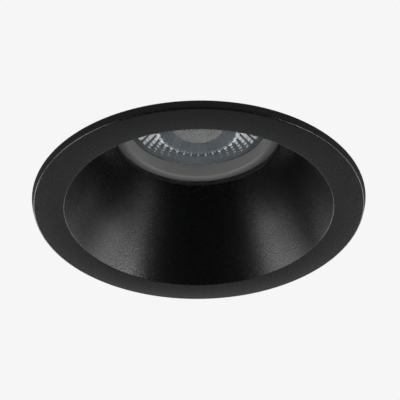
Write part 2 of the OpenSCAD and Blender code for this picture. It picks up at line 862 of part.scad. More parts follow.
module lampholder_body() {
    color(ceramic_white)
        difference() {
            stadium(holder_l, holder_w, holder_z, holder_h);
            for (half = [0, 180])
                rotate([0, 0, half]) {
                    pin_track(pin_shank_d / 2 + slot_side, holder_z - 1, face_plate_t + 2);
                    rotate([0, 0, 90 - lamp_twist])
                        translate([pin_r, 0, holder_z - 1])
                            cylinder(r = pin_head_d / 2 + slot_side, h = face_plate_t + 2);
                    pin_track(pin_head_d / 2 + 2 * slot_side, cavity_z, cavity_h);
                    // Way out for the lead, through the back
                    translate([0, pin_r, cavity_z]) cylinder(r = 1.6, h = holder_h);
                }
            for (x = [-1, 1])
                translate([x * holder_hole_x, 0, holder_z - 1]) {
                    cylinder(r = m3_r + 0.1, h = holder_h + 2);
                    cylinder(r = holder_screw_head_r + 0.2, h = holder_screw_recess + 1);
                }
        }
}

module lampholder_contacts() {
    contact_z = cavity_z + slack + pin_head_h + 0.3;
    color(brass)
        for (half = [0, 180])
            rotate([0, 0, half])
                translate([0, pin_r, contact_z]) {
                    cylinder(r = 2.3, h = 0.5);
                    cylinder(r = 1.1, h = holder_top - contact_z - 3);
                }
}

module lampholder_screws() {
    color(steel)
        for (x = [-1, 1])
            translate([x * holder_hole_x, 0, holder_z + holder_screw_recess])
                mirror([0, 0, 1])
                    screw(m3_r, holder_h - holder_screw_recess + bridge_t + 0.4, holder_screw_head_r, 1.8);
}

module lampholder_bridge() {
    low = holder_top;
    high = cage_inside_z - bridge_t;
    run = holder_l / 2 + 1.6;
    reach = holder_l / 2 + 8;
    color(zinc)
        difference() {
            rotate([90, 0, 0])
                linear_extrude(14, center = true)
                    polygon([
                        [-reach, high], [-run - 0.6, high], [-run, low], [run, low], [run + 0.6, high], [reach, high],
                        [reach, high + bridge_t], [run, high + bridge_t], [run - 0.6, low + bridge_t],
                        [-run + 0.6, low + bridge_t], [-run, high + bridge_t], [-reach, high + bridge_t]
                    ]);
            for (y = [-pin_r, pin_r]) translate([0, y, low - 1]) cylinder(r = 1.7, h = 4);
            for (x = [-1, 1]) translate([x * holder_hole_x, 0, low - 1]) cylinder(r = m3_r + fit, h = 4);
            at_top_holes() translate([0, 0, -2]) cylinder(r = m3_r + fit, h = 4);
        }
}

module bridge_rivets() {
    grip = bridge_t + sheet_t;
    color(steel)
        at_top_holes() {
            translate([0, 0, 1 - bridge_t - 0.7]) cylinder(r = 2.4, h = 0.7);
            translate([0, 0, 1 - bridge_t - eps]) cylinder(r = m3_r, h = grip + eps);
        }
}

// --- Wiring held inside ---

module lead_grommet() {
    low = cage_inside_z;
    high = box_floor;
    flange_t = 1;
    color(rubber)
        difference() {
            turned([
                [0, low - flange_t], [grommet_flange_r, low - flange_t, 0.4], [grommet_flange_r, low],
                [lead_hole_r - fit, low], [lead_hole_r - fit, high], [grommet_flange_r, high],
                [grommet_flange_r, high + flange_t, 0.4], [0, high + flange_t]
            ]);
            for (y = [-pin_r, pin_r]) translate([0, y, low - 3]) cylinder(r = lead_r + fit, h = 8);
        }
}

lead_r = 1.1;
wire_in = 2.4;                   // how far a wire goes into its terminal

// The supply poles' leads rise from the lampholder and bend over into the block
function supply_lead(side) = through([
    [0, side * pin_r, holder_top - 2.6],
    [0, side * pin_r, cage_inside_z - 1],
    [0, side * pin_r, box_floor + 1.6],
    [-1.6, side * (pin_r + 1), box_floor + 3.6],
    [-5, side * (pin_r + 2.8), pole_z + 0.6],
    [block_x + block_l + 1, side * pole_pitch, pole_z],
    [block_x + block_l - wire_in, side * pole_pitch, pole_z]
], 3);

module live_lead() {
    color([0.45, 0.25, 0.12]) tube(supply_lead(1), 2 * lead_r, 8);
}

module neutral_lead() {
    color([0.15, 0.3, 0.65]) tube(supply_lead(-1), 2 * lead_r, 8);
}

earth_tag_z = cage_top;

module earth_lead() {
    path = through([
        [earth_at[0] - 4.6, earth_at[1] + 0.4, earth_tag_z + 1.6],
        [earth_at[0] - 7, earth_at[1] + 1.2, box_floor + 5.4],
        [-3.4, earth_at[1] + 4.6, box_floor + 7.4],
        [-5.4, -2.4, box_floor + 6.4],
        [block_x + block_l + 1, 0, pole_z],
        [block_x + block_l - wire_in, 0, pole_z]
    ], 3);
    color([0.45, 0.6, 0.15]) tube(path, 2 * lead_r, 8);
}

module earth_tag() {
    color(brass)
        translate([earth_at[0], earth_at[1], earth_tag_z])
            difference() {
                union() {
                    cylinder(r = 3.6, h = 0.8);
                    translate([-5.6, -1.3, 0]) cube([4, 2.6, 0.8]);
                }
                translate([0, 0, -1]) cylinder(r = 2 + fit, h = 3);
            }
}

module earth_screw() {
    color(brass) translate([earth_at[0], earth_at[1], earth_tag_z + 0.8]) screw(2, 4, 3.4, 2);
}

// --- Terminal box on the cage's top ---

module hinge_axis() {
    translate([0, hinge_y, hinge_z]) rotate([0, 90, 0]) children();
}

knuckle_r = 2.4;
ear_x = 14;
hinge_ear_t = 3;

// The plate's outline in the end wall: its full thickness, and a thinner tongue at both sides
module entry_shape(play, past, h) {
    tongue_t = box_wall / 3 - 2 * play;
    translate([box_l / 2 - box_wall, -entry_half + play, box_floor])
        cube([past, 2 * (entry_half - play), h]);
    translate([box_l / 2 - box_wall / 2 - tongue_t / 2, -entry_half - entry_tongue + play, box_floor])
        cube([tongue_t, 2 * (entry_half + entry_tongue - play), h]);
}

module entry_plate() {
    color([0.12, 0.12, 0.13])
        difference() {
            entry_shape(fit, box_wall, box_h);
            translate([box_l / 2 - box_wall - 1, 0, cable_z])
                rotate([0, 90, 0]) cylinder(r = grommet_in_r, h = box_wall + 2);
        }
}

module terminal_box() {
    inner_l = box_l - 2 * box_wall;
    inner_w = box_w - 2 * box_wall;
    color([0.12, 0.12, 0.13])
        difference() {
            union() {
                plate(box_l, box_w, box_corner, box_z, box_top - box_z);
                // Hinge ears on the back wall
                for (x = [-ear_x - hinge_ear_t, ear_x])
                    translate([x, 0, 0])
                        rotate([90, 0, 90])
                            linear_extrude(hinge_ear_t)
                                hull() {
                                    translate([hinge_y, hinge_z]) circle(r = knuckle_r, $fn = 32);
                                    translate([-box_w / 2 - eps, hinge_z - 8.6]) square([0.2, 8.6]);
                                }
            }
            difference() {
                plate(inner_l, inner_w, box_corner - box_wall, box_floor, box_h + 1);
                // Posts of the cable clamp, left standing on the floor
                for (side = [-1, 1])
                    translate([clamp_x, side * clamp_post_y, 0])
                        cylinder(r = 2.6, h = cable_z);
            }
            for (side = [-1, 1])
                translate([clamp_x, side * clamp_post_y, clamp_hole_z]) cylinder(r = 1.25 + fit, h = box_h);
            translate([0, 0, box_z - 1]) cylinder(r = lead_hole_r, h = box_wall + 2);
            translate([earth_at[0], earth_at[1], box_z - 1]) cylinder(r = 4.1, h = box_wall + 2);
            translate([earth_at[0] - 6, earth_at[1] - 1.8, box_z - 1]) cube([5, 3.6, box_wall + 2]);
            for (p = box_screw_at) translate([p[0], p[1], box_z - 1]) cylinder(r = m3_r + fit, h = box_wall + 2);
            entry_shape(0, box_wall + 1, box_h + 1);
            hinge_axis() cylinder(r = trunnion_r + fit, h = 60, center = true);
        }
}

module box_screws() {
    color(steel) for (p = box_screw_at) translate([p[0], p[1], box_floor]) screw(m3_r, 3.6, 2.6, 1.6);
}

module at_poles() {
    for (i = [-1, 0, 1]) translate([0, i * pole_pitch, 0]) children();
}

module terminal_block() {
    pole_w = pole_pitch - 1.6;
    color([0.85, 0.84, 0.78])
        difference() {
            union() {
                at_poles()
                    translate([block_x, -pole_w / 2, box_floor]) cube([block_l, pole_w, block_h]);
                translate([block_x + 2, -pole_pitch - pole_w / 2, box_floor])
                    cube([block_l - 4, 2 * pole_pitch + pole_w, 5]);
            }
            at_poles() {
                translate([block_x - 1, 0, pole_z]) rotate([0, 90, 0]) cylinder(r = 1.7, h = block_l + 2);
                for (x = [3, block_l - 3])
                    translate([block_x + x, 0, pole_z]) cylinder(r = 1.9, h = block_h);
            }
        }
}

module terminal_screws() {
    color(brass)
        at_poles()
            for (x = [3, block_l - 3])
                translate([block_x + x, 0, pole_z + 1.8])
                    difference() {
                        cylinder(r = 1.8, h = 2.4);
                        translate([-2, -0.3, 1.5]) cube([4, 0.6, 2]);
                    }
}

module cable_clamp() {
    bar_l = 2 * clamp_post_y + 6;
    color([0.2, 0.2, 0.22])
        difference() {
            translate([clamp_x, 0, 0])
                rotate([0, 0, 90])
                    difference() {
                        stadium(bar_l, 6, cable_z, clamp_bar_h);
                        translate([0, 4, cable_z - cable_d / 2 + 1])
                            rotate([90, 0, 0]) cylinder(d = cable_d, h = 8);
                    }
            for (side = [-1, 1])
                translate([clamp_x, side * clamp_post_y, cable_z - 1]) cylinder(r = 1.25 + fit, h = 6);
        }
}

module clamp_screws() {
    color(steel)
        for (side = [-1, 1])
            translate([clamp_x, side * clamp_post_y, cable_z + clamp_bar_h])
                screw(1.25, cable_z + clamp_bar_h - clamp_hole_z - slack, 2.3, 1.4);
}

module cable_grommet() {
    wall_x = box_l / 2;
    r = cable_d / 2;
    lip = 1.2;
    color(rubber)
        translate([wall_x - box_wall, 0, cable_z])
            rotate([0, 90, 0])
                turned([
                    [r, -lip], [grommet_out_r, -lip, 0.3], [grommet_out_r, 0], [grommet_in_r - fit, 0],
                    [grommet_in_r - fit, box_wall], [grommet_out_r, box_wall],
                    [grommet_out_r, box_wall + lip, 0.3], [r, box_wall + lip]
                ]);
}

module box_lid() {
    skirt_gap = 0.2;
    lip_t = 1.2;
    inner_x = box_l / 2 + skirt_gap;
    inner_y = box_w / 2 + skirt_gap;
    outer_l = 2 * (inner_x + lip_t);
    front = inner_y + lip_t;
    back = -box_w / 2 + 0.6;
    plate_z = box_top + 0.1;
    color([0.12, 0.12, 0.13])
        difference() {
            union() {
                // Cover with a lip over the front and sides of the box
                difference() {
                    translate([0, 0, plate_z - lid_lip_h])
                        linear_extrude(lid_lip_h + lid_t)
                            polygon(rounded([
                                [-outer_l / 2, back, 0.5], [outer_l / 2, back, 0.5],
                                [outer_l / 2, front, box_corner + 1], [-outer_l / 2, front, box_corner + 1]
                            ]));
                    translate([0, 0, plate_z - 9])
                        linear_extrude(9)
                            polygon(rounded([
                                [-inner_x, back - 9], [inner_x, back - 9],
                                [inner_x, inner_y, box_corner], [-inner_x, inner_y, box_corner]
                            ]));
                }
                // Hinge barrel and the web that joins it to the cover
                hinge_axis() cylinder(r = knuckle_r - 0.4, h = 2 * (ear_x - 0.2), center = true);
                translate([-ear_x + 0.2, hinge_y, plate_z])
                    cube([2 * (ear_x - 0.2), back - hinge_y + 1, lid_t]);
                hinge_axis() cylinder(r = trunnion_r, h = 2 * (ear_x + hinge_ear_t), center = true);
                // Finger tab
                translate([-7, front - 1, plate_z]) cube([14, 4, lid_t]);
            }
            // Grip ridges in the cover
            for (x = [-6:3:6])
                translate([x - 0.5, front - 6, plate_z + lid_t - 0.4]) cube([1, 8, 1]);
        }
}

// Draws a right-hand piece on the left too
module left() {
    mirror([1, 0, 0]) children();
}

trim_ring();
soffit_gasket();
lamp_seal();
mounting_ring();
lamp_cage();
cage_screws();
left() clip_bracket();  // clip_bracket_left
clip_bracket();  // clip_bracket_right
left() bracket_rivets();  // bracket_rivets_left
bracket_rivets();  // bracket_rivets_right
left() clip_pivot();  // clip_pivot_left
clip_pivot();  // clip_pivot_right
left() torsion_spring();  // torsion_spring_left
torsion_spring();  // torsion_spring_right
left() clip_arm();  // clip_arm_left
clip_arm();  // clip_arm_right
left() arm_sleeve();  // arm_sleeve_left
arm_sleeve();  // arm_sleeve_right
lamp_bezel();
lamp_lens();
led_module();
lamp_heatsink();
driver_board();
lamp_cap();
lamp_pins();
lampholder_body();
lampholder_contacts();
lampholder_screws();
lampholder_bridge();
bridge_rivets();
lead_grommet();
live_lead();
neutral_lead();
earth_lead();
earth_tag();
earth_screw();
terminal_box();
entry_plate();
box_screws();
terminal_block();
terminal_screws();
cable_clamp();
clamp_screws();
cable_grommet();
box_lid();
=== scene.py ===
# %% [markdown]
# # A recessed soffit downlight
# The light is a black trim with a deep cone, a ring and cage that stand above the soffit, two sprung
# clips, a spot lamp that twists into its holder, and a small terminal box. The engineering model holds the
# main sizes. Each cell below takes one piece or one finish, says what it is on the real light, and makes it.

# %% Load the engineering model and note its size
import json

import bmesh
import bpy
import numpy as np
from mathutils import Matrix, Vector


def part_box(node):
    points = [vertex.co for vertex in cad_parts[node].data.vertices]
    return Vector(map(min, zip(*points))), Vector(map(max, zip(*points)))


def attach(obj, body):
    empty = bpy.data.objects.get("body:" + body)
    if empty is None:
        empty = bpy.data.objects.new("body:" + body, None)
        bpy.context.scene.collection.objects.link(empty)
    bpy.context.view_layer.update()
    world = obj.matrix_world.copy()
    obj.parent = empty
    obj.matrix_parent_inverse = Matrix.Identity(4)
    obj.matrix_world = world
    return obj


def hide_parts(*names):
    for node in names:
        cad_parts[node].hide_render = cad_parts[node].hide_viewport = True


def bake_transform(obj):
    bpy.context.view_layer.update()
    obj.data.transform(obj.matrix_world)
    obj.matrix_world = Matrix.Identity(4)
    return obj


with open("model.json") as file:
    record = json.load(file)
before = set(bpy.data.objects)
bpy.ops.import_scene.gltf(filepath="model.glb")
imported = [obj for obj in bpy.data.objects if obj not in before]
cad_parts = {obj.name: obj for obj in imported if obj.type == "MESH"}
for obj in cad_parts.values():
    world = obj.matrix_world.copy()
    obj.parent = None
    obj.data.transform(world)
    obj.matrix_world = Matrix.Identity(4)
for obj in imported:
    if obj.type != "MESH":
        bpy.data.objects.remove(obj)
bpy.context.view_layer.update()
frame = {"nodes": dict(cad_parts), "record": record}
MM = 0.001
joints = {joint["name"]: joint for joint in frame["record"]["behaviour"]["joints"]}
body_of = {node: body for body, nodes in frame["record"]["behaviour"]["bodies"].items() for node in nodes}

# %% [markdown]
# ## The levels that the pieces share
# A turned piece is placed by its radii and heights. They are read from the engineering model's own boxes,
# so nothing is measured twice: a ring's box gives its outer radius and its lowest point. The finer sizes of
# the lamp's face are here too, because its finishes follow them.

# %% Read the levels of the trim and the lamp


def low(node):
    """The lowest point of a node, in millimetres."""
    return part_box(node)[0][2] / MM


def reach(node):
    """The largest radius of a round node, in millimetres: half its width along Y."""
    corner_low, corner_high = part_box(node)
    return (corner_high[1] - corner_low[1]) / 2 / MM


face_z = low("trim_ring")
flange_r = reach("trim_ring")
lamp_z = low("lamp_bezel")
lamp_r = reach("lamp_bezel")
pivot_x, _, pivot_z = (value / MM for value in joints["clip_right_hinge"]["pos_m"])
rim_wall_r = 21.2
disc_r, disc_level = 7.6, 2.5
crest_in_r, crest_out_r, crest_level = 11.1, 11.9, 0.8
print(f"front face at {face_z:.2f}, flange radius {flange_r:.2f}")
print(f"lamp face at {lamp_z:.2f}, lamp radius {lamp_r:.2f}")

# %% [markdown]
# ## The photograph's camera
# The picture was taken from below and in front. Fitting the ellipses of the flange, the mouth and the
# throat gives the direction, about 35 degrees below the soffit's plane, a distance of 7.5 flange radii,
# and a long lens. The camera is built from its own three axes, so that the small turns of the fit can be
# given as they are.

# %% Place the camera
elevation = np.radians(35.0)
distance = 7.5 * flange_r
pixels_of_focal_length = 1251.4
turn_right, turn_up, roll = np.radians([0.055, 0.645, -0.60])
picture_px = 400
sensor_mm = 36.0

aim = np.array([0.0, 0.0, face_z])
eye = aim + distance * np.array([0.0, -np.cos(elevation), -np.sin(elevation)])
ahead = (aim - eye) / distance
level = np.array([1.0, 0.0, 0.0])
upward = np.cross(level, ahead)
ahead = ahead + turn_right * level + turn_up * upward
ahead /= np.linalg.norm(ahead)
level = np.cross(ahead, upward)
level /= np.linalg.norm(level)
upward = np.cross(level, ahead)
right = np.cos(roll) * level + np.sin(roll) * upward
up = np.cos(roll) * upward - np.sin(roll) * level

camera = bpy.data.objects.new("camera", bpy.data.cameras.new("camera"))
bpy.context.scene.collection.objects.link(camera)
camera.data.sensor_width = sensor_mm
camera.data.lens = pixels_of_focal_length * sensor_mm / picture_px
camera.matrix_world = Matrix([
    [right[0], up[0], -ahead[0], eye[0] * MM],
    [right[1], up[1], -ahead[1], eye[1] * MM],
    [right[2], up[2], -ahead[2], eye[2] * MM],
    [0, 0, 0, 1],
])
bpy.context.scene.camera = camera
print(f"camera {distance:.0f} mm away, lens {camera.data.lens:.1f} mm")

# %% [markdown]
# ## Making a mesh from arrays
# Every new piece is worked out with numpy and handed to Blender in one go. A closed surface has an inside,
# so its faces must all point outwards. The sum of the small pyramids between each face and the origin is
# the enclosed volume, and its sign tells whether the faces point out or in.

# %% Turn points and faces into an object
smooth_deg = 40


def signed_volume(points, quads):
    """Sum over the faces of (a x b) . c / 6 for each triangle a, b, c: negative if they point inwards."""
    a, b, c, d = (points[quads[:, k]] for k in range(4))
    parts = np.einsum("ij,ij->i", np.cross(a, b), c) + np.einsum("ij,ij->i", np.cross(a, c), d)
    return parts.sum() / 6


def closed_piece(name, points, quads, body, *replaced, sharp_deg=smooth_deg):
    """Makes an object of a closed surface of four-sided faces, in millimetres, riding on a body."""
    if signed_volume(points, quads) < 0:
        quads = quads[:, ::-1]
    mesh = bpy.data.meshes.new(name)
    mesh.from_pydata(points * MM, [], quads)
    tidy_mesh(mesh, sharp_deg)
    piece = bpy.data.objects.new(name, mesh)
    bpy.context.scene.collection.objects.link(piece)
    if body:
        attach(piece, body)
    if replaced:
        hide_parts(*replaced)
    return piece


def tidy_mesh(mesh, sharp_deg, flat_deg=None):
    """Merges points within a micrometre, dissolves flat seams if asked, and shades smooth up to an
    angle."""
    work = bmesh.new()
    work.from_mesh(mesh)
    bmesh.ops.remove_doubles(work, verts=work.verts, dist=1e-6)
    bmesh.ops.dissolve_degenerate(work, edges=work.edges, dist=1e-7)
    if flat_deg is not None:
        flat = np.radians(flat_deg)
        bmesh.ops.dissolve_limit(work, angle_limit=flat, verts=work.verts, edges=work.edges)
    for face in work.faces:
        face.smooth = True
    for edge in work.edges:
        edge.smooth = bool(edge.calc_face_angle(0) < np.radians(sharp_deg))
    work.to_mesh(mesh)
    work.free()


# %% [markdown]
# ## Turned surfaces
# Most of this light is turned: a profile in radius and height, carried once round the axis. Real castings
# and mouldings have no knife edges, so a corner that shows carries its own small radius and becomes an arc
# that touches both of its sides.

# %% Round a profile and carry it round the axis
arc_steps = 5


def arc_at(corner, before, after, radius):
    """Points of the arc that touches both sides of a corner: it starts radius / tan(half the angle)
    before the corner and turns about a centre on the bisector, radius / sin(half the angle) away."""
    to_before = (before - corner) / np.linalg.norm(before - corner)
    to_after = (after - corner) / np.linalg.norm(after - corner)
    half = np.arccos(np.clip(to_before @ to_after, -1, 1)) / 2
    bisector = to_before + to_after
    centre = corner + bisector / np.linalg.norm(bisector) * radius / np.sin(half)
    start = corner + to_before * radius / np.tan(half) - centre
    end = corner + to_after * radius / np.tan(half) - centre
    sweep = np.arctan2(start[0] * end[1] - start[1] * end[0], start @ end)
    turn = np.arctan2(start[1], start[0]) + sweep * np.linspace(0, 1, arc_steps + 1)
    return centre + radius * np.stack([np.cos(turn), np.sin(turn)], axis=1)


def rounded(corners):
    """A closed outline of (x, y) or (x, y, radius) corners, with an arc at each that has a radius."""
    flat = [np.array(corner[:2], float) for corner in corners]
    outline = []
    for k, corner in enumerate(corners):
        if len(corner) == 3:
            outline.extend(arc_at(flat[k], flat[k - 1], flat[(k + 1) % len(flat)], corner[2]))
        else:
            outline.append(flat[k])
    return np.array(outline)


def carried_round(outline, segments):
    """Point (k, j) is outline point j turned by 360 k / segments degrees: (r cos a, r sin a, z)."""
    angle = 2 * np.pi * np.arange(segments) / segments
    radius, height = outline[:, 0], outline[:, 1]
    return np.stack([
        np.outer(np.cos(angle), radius),
        np.outer(np.sin(angle), radius),
        np.broadcast_to(height, (segments, len(height))),
    ], axis=-1)


def grid_quads(rows, columns, wrap_rows=True, wrap_columns=True):
    """The four corners of every cell of a grid of points that is rows x columns large."""
    row = np.arange(rows if wrap_rows else rows - 1)[:, None]
    column = np.arange(columns if wrap_columns else columns - 1)[None, :]
    next_row, next_column = (row + 1) % rows, (column + 1) % columns
    corners = [row * columns + column, next_row * columns + column,
               next_row * columns + next_column, row * columns + next_column]
    cells = (len(row), column.shape[1])
    return np.stack([np.broadcast_to(corner, cells) for corner in corners], axis=-1).reshape(-1, 4)


def turned(name, corners, body, *replaced, segments=288):
    """A closed solid of revolution about Z, from a profile of (radius, height, rounding) corners."""
    points = carried_round(rounded(corners), segments)
    return closed_piece(name, points.reshape(-1, 3), grid_quads(*points.shape[:2]), body, *replaced)


# %% [markdown]
# ## Arithmetic for shaders
# A finish is a small calculation at each point of a surface. Written as Python, `0.4 + 0.1 * grain` reads
# better than a chain of nodes, so one class wraps a node's output and turns Python's operators into Math
# nodes.

# %% Wrap a shader value so that Python's operators work on it


class Value:
    """One number at each point of a surface."""

    def __init__(self, finish, socket):
        self.finish = finish
        self.socket = socket

    def math(self, operation, *inputs):
        made = self.finish.node("ShaderNodeMath", {"operation": operation}, *inputs)
        return Value(self.finish, made.outputs[0])

    def __add__(self, other):
        return self.math("ADD", self, other)

    def __mul__(self, other):
        return self.math("MULTIPLY", self, other)

    def __rsub__(self, other):
        return self.math("SUBTRACT", other, self)

    __radd__ = __add__
    __rmul__ = __mul__

    def between(self, start, end):
        """0 below start, 1 above end, and a straight ramp between them."""
        made = self.finish.node("ShaderNodeMapRange", {}, self, start, end, 0.0, 1.0)
        return Value(self.finish, made.outputs[0])


class Finish:
    """A material under construction: its nodes and its one Principled surface."""

    def __init__(self, name, colour, roughness, metallic=0.0, **constants):
        self.material = bpy.data.materials.new(name)
        self.material.use_nodes = True
        self.tree = self.material.node_tree
        self.surface = self.tree.nodes["Principled BSDF"]
        self.places = self.node("ShaderNodeTexCoord").outputs["Object"]
        self.set("Base Color", (*colour, 1.0))
        self.set("Roughness", roughness)
        self.set("Metallic", metallic)
        for socket, constant in constants.items():
            self.set(socket.replace("_", " "), constant)

    def feed(self, socket, value):
        if isinstance(value, Value):
            value = value.socket
        if isinstance(value, bpy.types.NodeSocket):
            self.tree.links.new(value, socket)
        else:
            socket.default_value = value

    def set(self, socket, value):
        self.feed(self.surface.inputs[socket], value)

    def node(self, kind, settings=None, *inputs, **named):
        """Adds a node, sets its own settings first, then its sockets by order or by name."""
        made = self.tree.nodes.new(kind)
        for setting, value in (settings or {}).items():
            setattr(made, setting, value)
        for socket, value in zip(made.inputs, inputs):
            self.feed(socket, value)
        for socket, value in named.items():
            self.feed(made.inputs[socket.replace("_", " ")], value)
        return made

    def grain(self, size_mm, detail=2.0, roughness=0.5, stretch=(1, 1, 1)):
        """Soft random values from 0 to 1 whose lumps are about size_mm across."""
        shrink = tuple(1 / share for share in stretch)
        placed = self.node("ShaderNodeMapping", {}, Vector=self.places, Scale=shrink).outputs[0]
        made = self.node(
            "ShaderNodeTexNoise", {}, Vector=placed, Scale=1 / (size_mm * MM), Detail=detail,
            Roughness=roughness,
        )
        return Value(self, made.outputs[0])

    def radius(self):
        """The distance from the axis, in metres."""
        flat = self.node("ShaderNodeMapping", {}, Vector=self.places, Scale=(1, 1, 0)).outputs[0]
        length = self.node("ShaderNodeVectorMath", {"operation": "LENGTH"}, flat)
        return Value(self, length.outputs["Value"])

    def height(self):
        """The height above the soffit, in metres."""
        return Value(self, self.node("ShaderNodeSeparateXYZ", {}, self.places).outputs[2])

    def cells(self, size_mm, feature="F1"):
        """The distance to the nearest of many scattered points, size_mm apart."""
        made = self.node(
            "ShaderNodeTexVoronoi", {"feature": feature}, Vector=self.places, Scale=1 / (size_mm * MM)
        )
        return Value(self, made.outputs[0])

    def mix(self, factor, colour_a, colour_b):
        """A colour that goes from one to the other as factor goes from 0 to 1."""
        made = self.node("ShaderNodeMix", {"data_type": "RGBA"})
        self.feed(made.inputs[0], factor)
        for socket, colour in ((made.inputs[6], colour_a), (made.inputs[7], colour_b)):
            self.feed(socket, (*colour, 1.0) if isinstance(colour, tuple) else colour)
        return made.outputs[2]

    def relief(self, height, depth_mm, strength):
        """Bumps of the given depth, worked out from a height of 0 to 1."""
        made = self.node("ShaderNodeBump", {}, Strength=strength, Distance=depth_mm * MM, Height=height)
        self.set("Normal", made.outputs[0])


# %% [markdown]
# ## Black powder coat
# The trim is a casting with a baked powder coat: almost black, satin, with a fine leathery texture from
# the melted grains. Its colour is so dark that the eye reads the shape from the gloss alone. The grains
# tilt the surface by a few degrees, which breaks every highlight into fine speckle, so the relief matters
# more than the colour.

# %% Powder coat


def black_powder_coat():
    finish = Finish("black_powder_coat", (0.0012, 0.0013, 0.0013), 0.32, IOR=1.5, Specular_IOR_Level=1.0)
    grains = finish.grain(0.42, roughness=0.6)
    drift = finish.grain(7.0)
    finish.set("Roughness", 0.24 + 0.07 * grains.between(0.35, 0.65) + 0.03 * drift)
    finish.relief(grains, depth_mm=0.12, strength=0.27)
    return finish.material


# %% [markdown]
# ## Metals of the hidden parts
# Above the soffit nothing is painted: the ring is cast alloy, the cage and brackets are zinc-plated sheet,
# and the clips are nickel-plated spring steel. What tells them apart is their grain. A casting is mottled
# and softly pitted, plated sheet is smooth with a faint spangle, and drawn or rolled steel has fine lines.

# %% Cast alloy, plated sheet, spring steel and screws


def cast_alloy():
    finish = Finish("cast_alloy", (0.52, 0.53, 0.54), 0.48, metallic=0.85)
    pits = finish.grain(0.5, detail=4.0, roughness=0.65)
    stains = finish.grain(9.0, detail=3.0)
    finish.set("Base Color", finish.mix(stains.between(0.3, 0.7), (0.44, 0.45, 0.46), (0.58, 0.59, 0.6)))
    finish.set("Roughness", 0.38 + 0.2 * pits)
    finish.relief(pits, depth_mm=0.05, strength=0.5)
    return finish.material


def plated_sheet():
    finish = Finish("plated_sheet", (0.62, 0.64, 0.66), 0.3, metallic=1.0)
    spangle = finish.cells(2.6, "SMOOTH_F1")
    haze = finish.grain(7.0, detail=3.0)
    finish.set("Base Color", finish.mix(haze.between(0.3, 0.7), (0.47, 0.483, 0.495), (0.53, 0.54, 0.545)))
    finish.set("Roughness", 0.28 + 0.1 * spangle + 0.04 * haze)
    finish.relief(finish.grain(0.9, detail=3.0), depth_mm=0.012, strength=0.4)
    return finish.material


def spring_steel():
    finish = Finish("spring_steel", (0.5, 0.5, 0.49), 0.26, metallic=1.0)
    lines = finish.grain(0.25, stretch=(12, 1, 12))
    finish.set("Base Color", finish.mix(lines.between(0.3, 0.7), (0.46, 0.46, 0.45), (0.52, 0.515, 0.5)))
    finish.set("Roughness", 0.22 + 0.08 * lines)
    finish.relief(lines, depth_mm=0.006, strength=0.2)
    return finish.material


def plated_screw():
    finish = Finish("plated_screw", (0.6, 0.6, 0.58), 0.3, metallic=1.0)
    wear = finish.grain(0.8, detail=3.0)
    finish.set("Base Color", finish.mix(wear.between(0.35, 0.7), (0.5, 0.5, 0.48), (0.68, 0.68, 0.66)))
    finish.set("Roughness", 0.22 + 0.2 * wear)
    finish.relief(wear, depth_mm=0.01, strength=0.3)
    return finish.material


def bright_brass():
    finish = Finish("bright_brass", (0.66, 0.45, 0.16), 0.26, metallic=1.0)
    tarnish = finish.grain(1.4, detail=3.0)
    finish.set("Base Color", finish.mix(tarnish.between(0.3, 0.75), (0.5, 0.33, 0.11), (0.72, 0.52, 0.22)))
    finish.set("Roughness", 0.2 + 0.2 * tarnish)
    return finish.material


def nickel_pins():
    finish = Finish("nickel_pins", (0.66, 0.64, 0.6), 0.18, metallic=1.0)
    scuffs = finish.grain(0.5, detail=3.0)
    finish.set("Roughness", 0.12 + 0.2 * scuffs)
    return finish.material


# %% [markdown]
# ## Rubber, foam and plastics
# The seals are soft and matt, the terminal box is black polyamide with a spark-eroded texture, and the
# lampholder is steatite under a thin, matt glaze, with a slightly sugary surface.

# %% Seals, box plastic, holder and wires


def foam_rubber():
    finish = Finish("foam_rubber", (0.012, 0.012, 0.013), 0.88)
    cells = finish.cells(0.35)
    finish.set("Roughness", 0.8 + 0.15 * cells)
    finish.relief(cells, depth_mm=0.1, strength=0.7)
    return finish.material


def silicone():
    finish = Finish("silicone", (0.016, 0.016, 0.017), 0.5)
    bloom = finish.grain(2.5, detail=3.0)
    finish.set("Roughness", 0.42 + 0.2 * bloom)
    finish.relief(finish.grain(0.4), depth_mm=0.015, strength=0.3)
    return finish.material


def vinyl():
    finish = Finish("vinyl", (0.02, 0.02, 0.022), 0.4)
    finish.set("Roughness", 0.32 + 0.16 * finish.grain(1.5, detail=3.0))
    finish.relief(finish.grain(0.5), depth_mm=0.02, strength=0.35)
    return finish.material


def moulded_plastic(name, colour):
    finish = Finish(name, colour, 0.5)
    spark = finish.grain(0.22)
    flow = finish.grain(11.0)
    darker = tuple(0.86 * part for part in colour)
    finish.set("Base Color", finish.mix(flow.between(0.3, 0.7), darker, colour))
    finish.set("Roughness", 0.42 + 0.16 * spark)
    finish.relief(spark, depth_mm=0.02, strength=0.45)
    return finish.material


def steatite():
    finish = Finish("steatite", (0.78, 0.76, 0.7), 0.55)
    sugar = finish.grain(0.3, detail=4.0, roughness=0.7)
    tone = finish.grain(6.0)
    finish.set("Base Color", finish.mix(tone.between(0.3, 0.7), (0.72, 0.7, 0.63), (0.84, 0.82, 0.77)))
    finish.set("Roughness", 0.45 + 0.2 * sugar)
    finish.relief(sugar, depth_mm=0.03, strength=0.4)
    return finish.material


def insulation(name, colour, stripe=None):
    """Wire insulation. The stripe, if there is one, runs where the wire's surface faces one way."""
    finish = Finish(name, colour, 0.35)
    scuffs = finish.grain(1.2, detail=3.0)
    finish.set("Roughness", 0.28 + 0.2 * scuffs)
    if stripe:
        normal = finish.node("ShaderNodeTexCoord").outputs["Normal"]
        facing = finish.node(
            "ShaderNodeVectorMath", {"operation": "DOT_PRODUCT"}, normal, (0.5, -0.6, 0.6)
        )
        aside = Value(finish, facing.outputs["Value"])
        finish.set("Base Color", finish.mix(aside.between(0.28, 0.34), colour, stripe))
    return finish.material


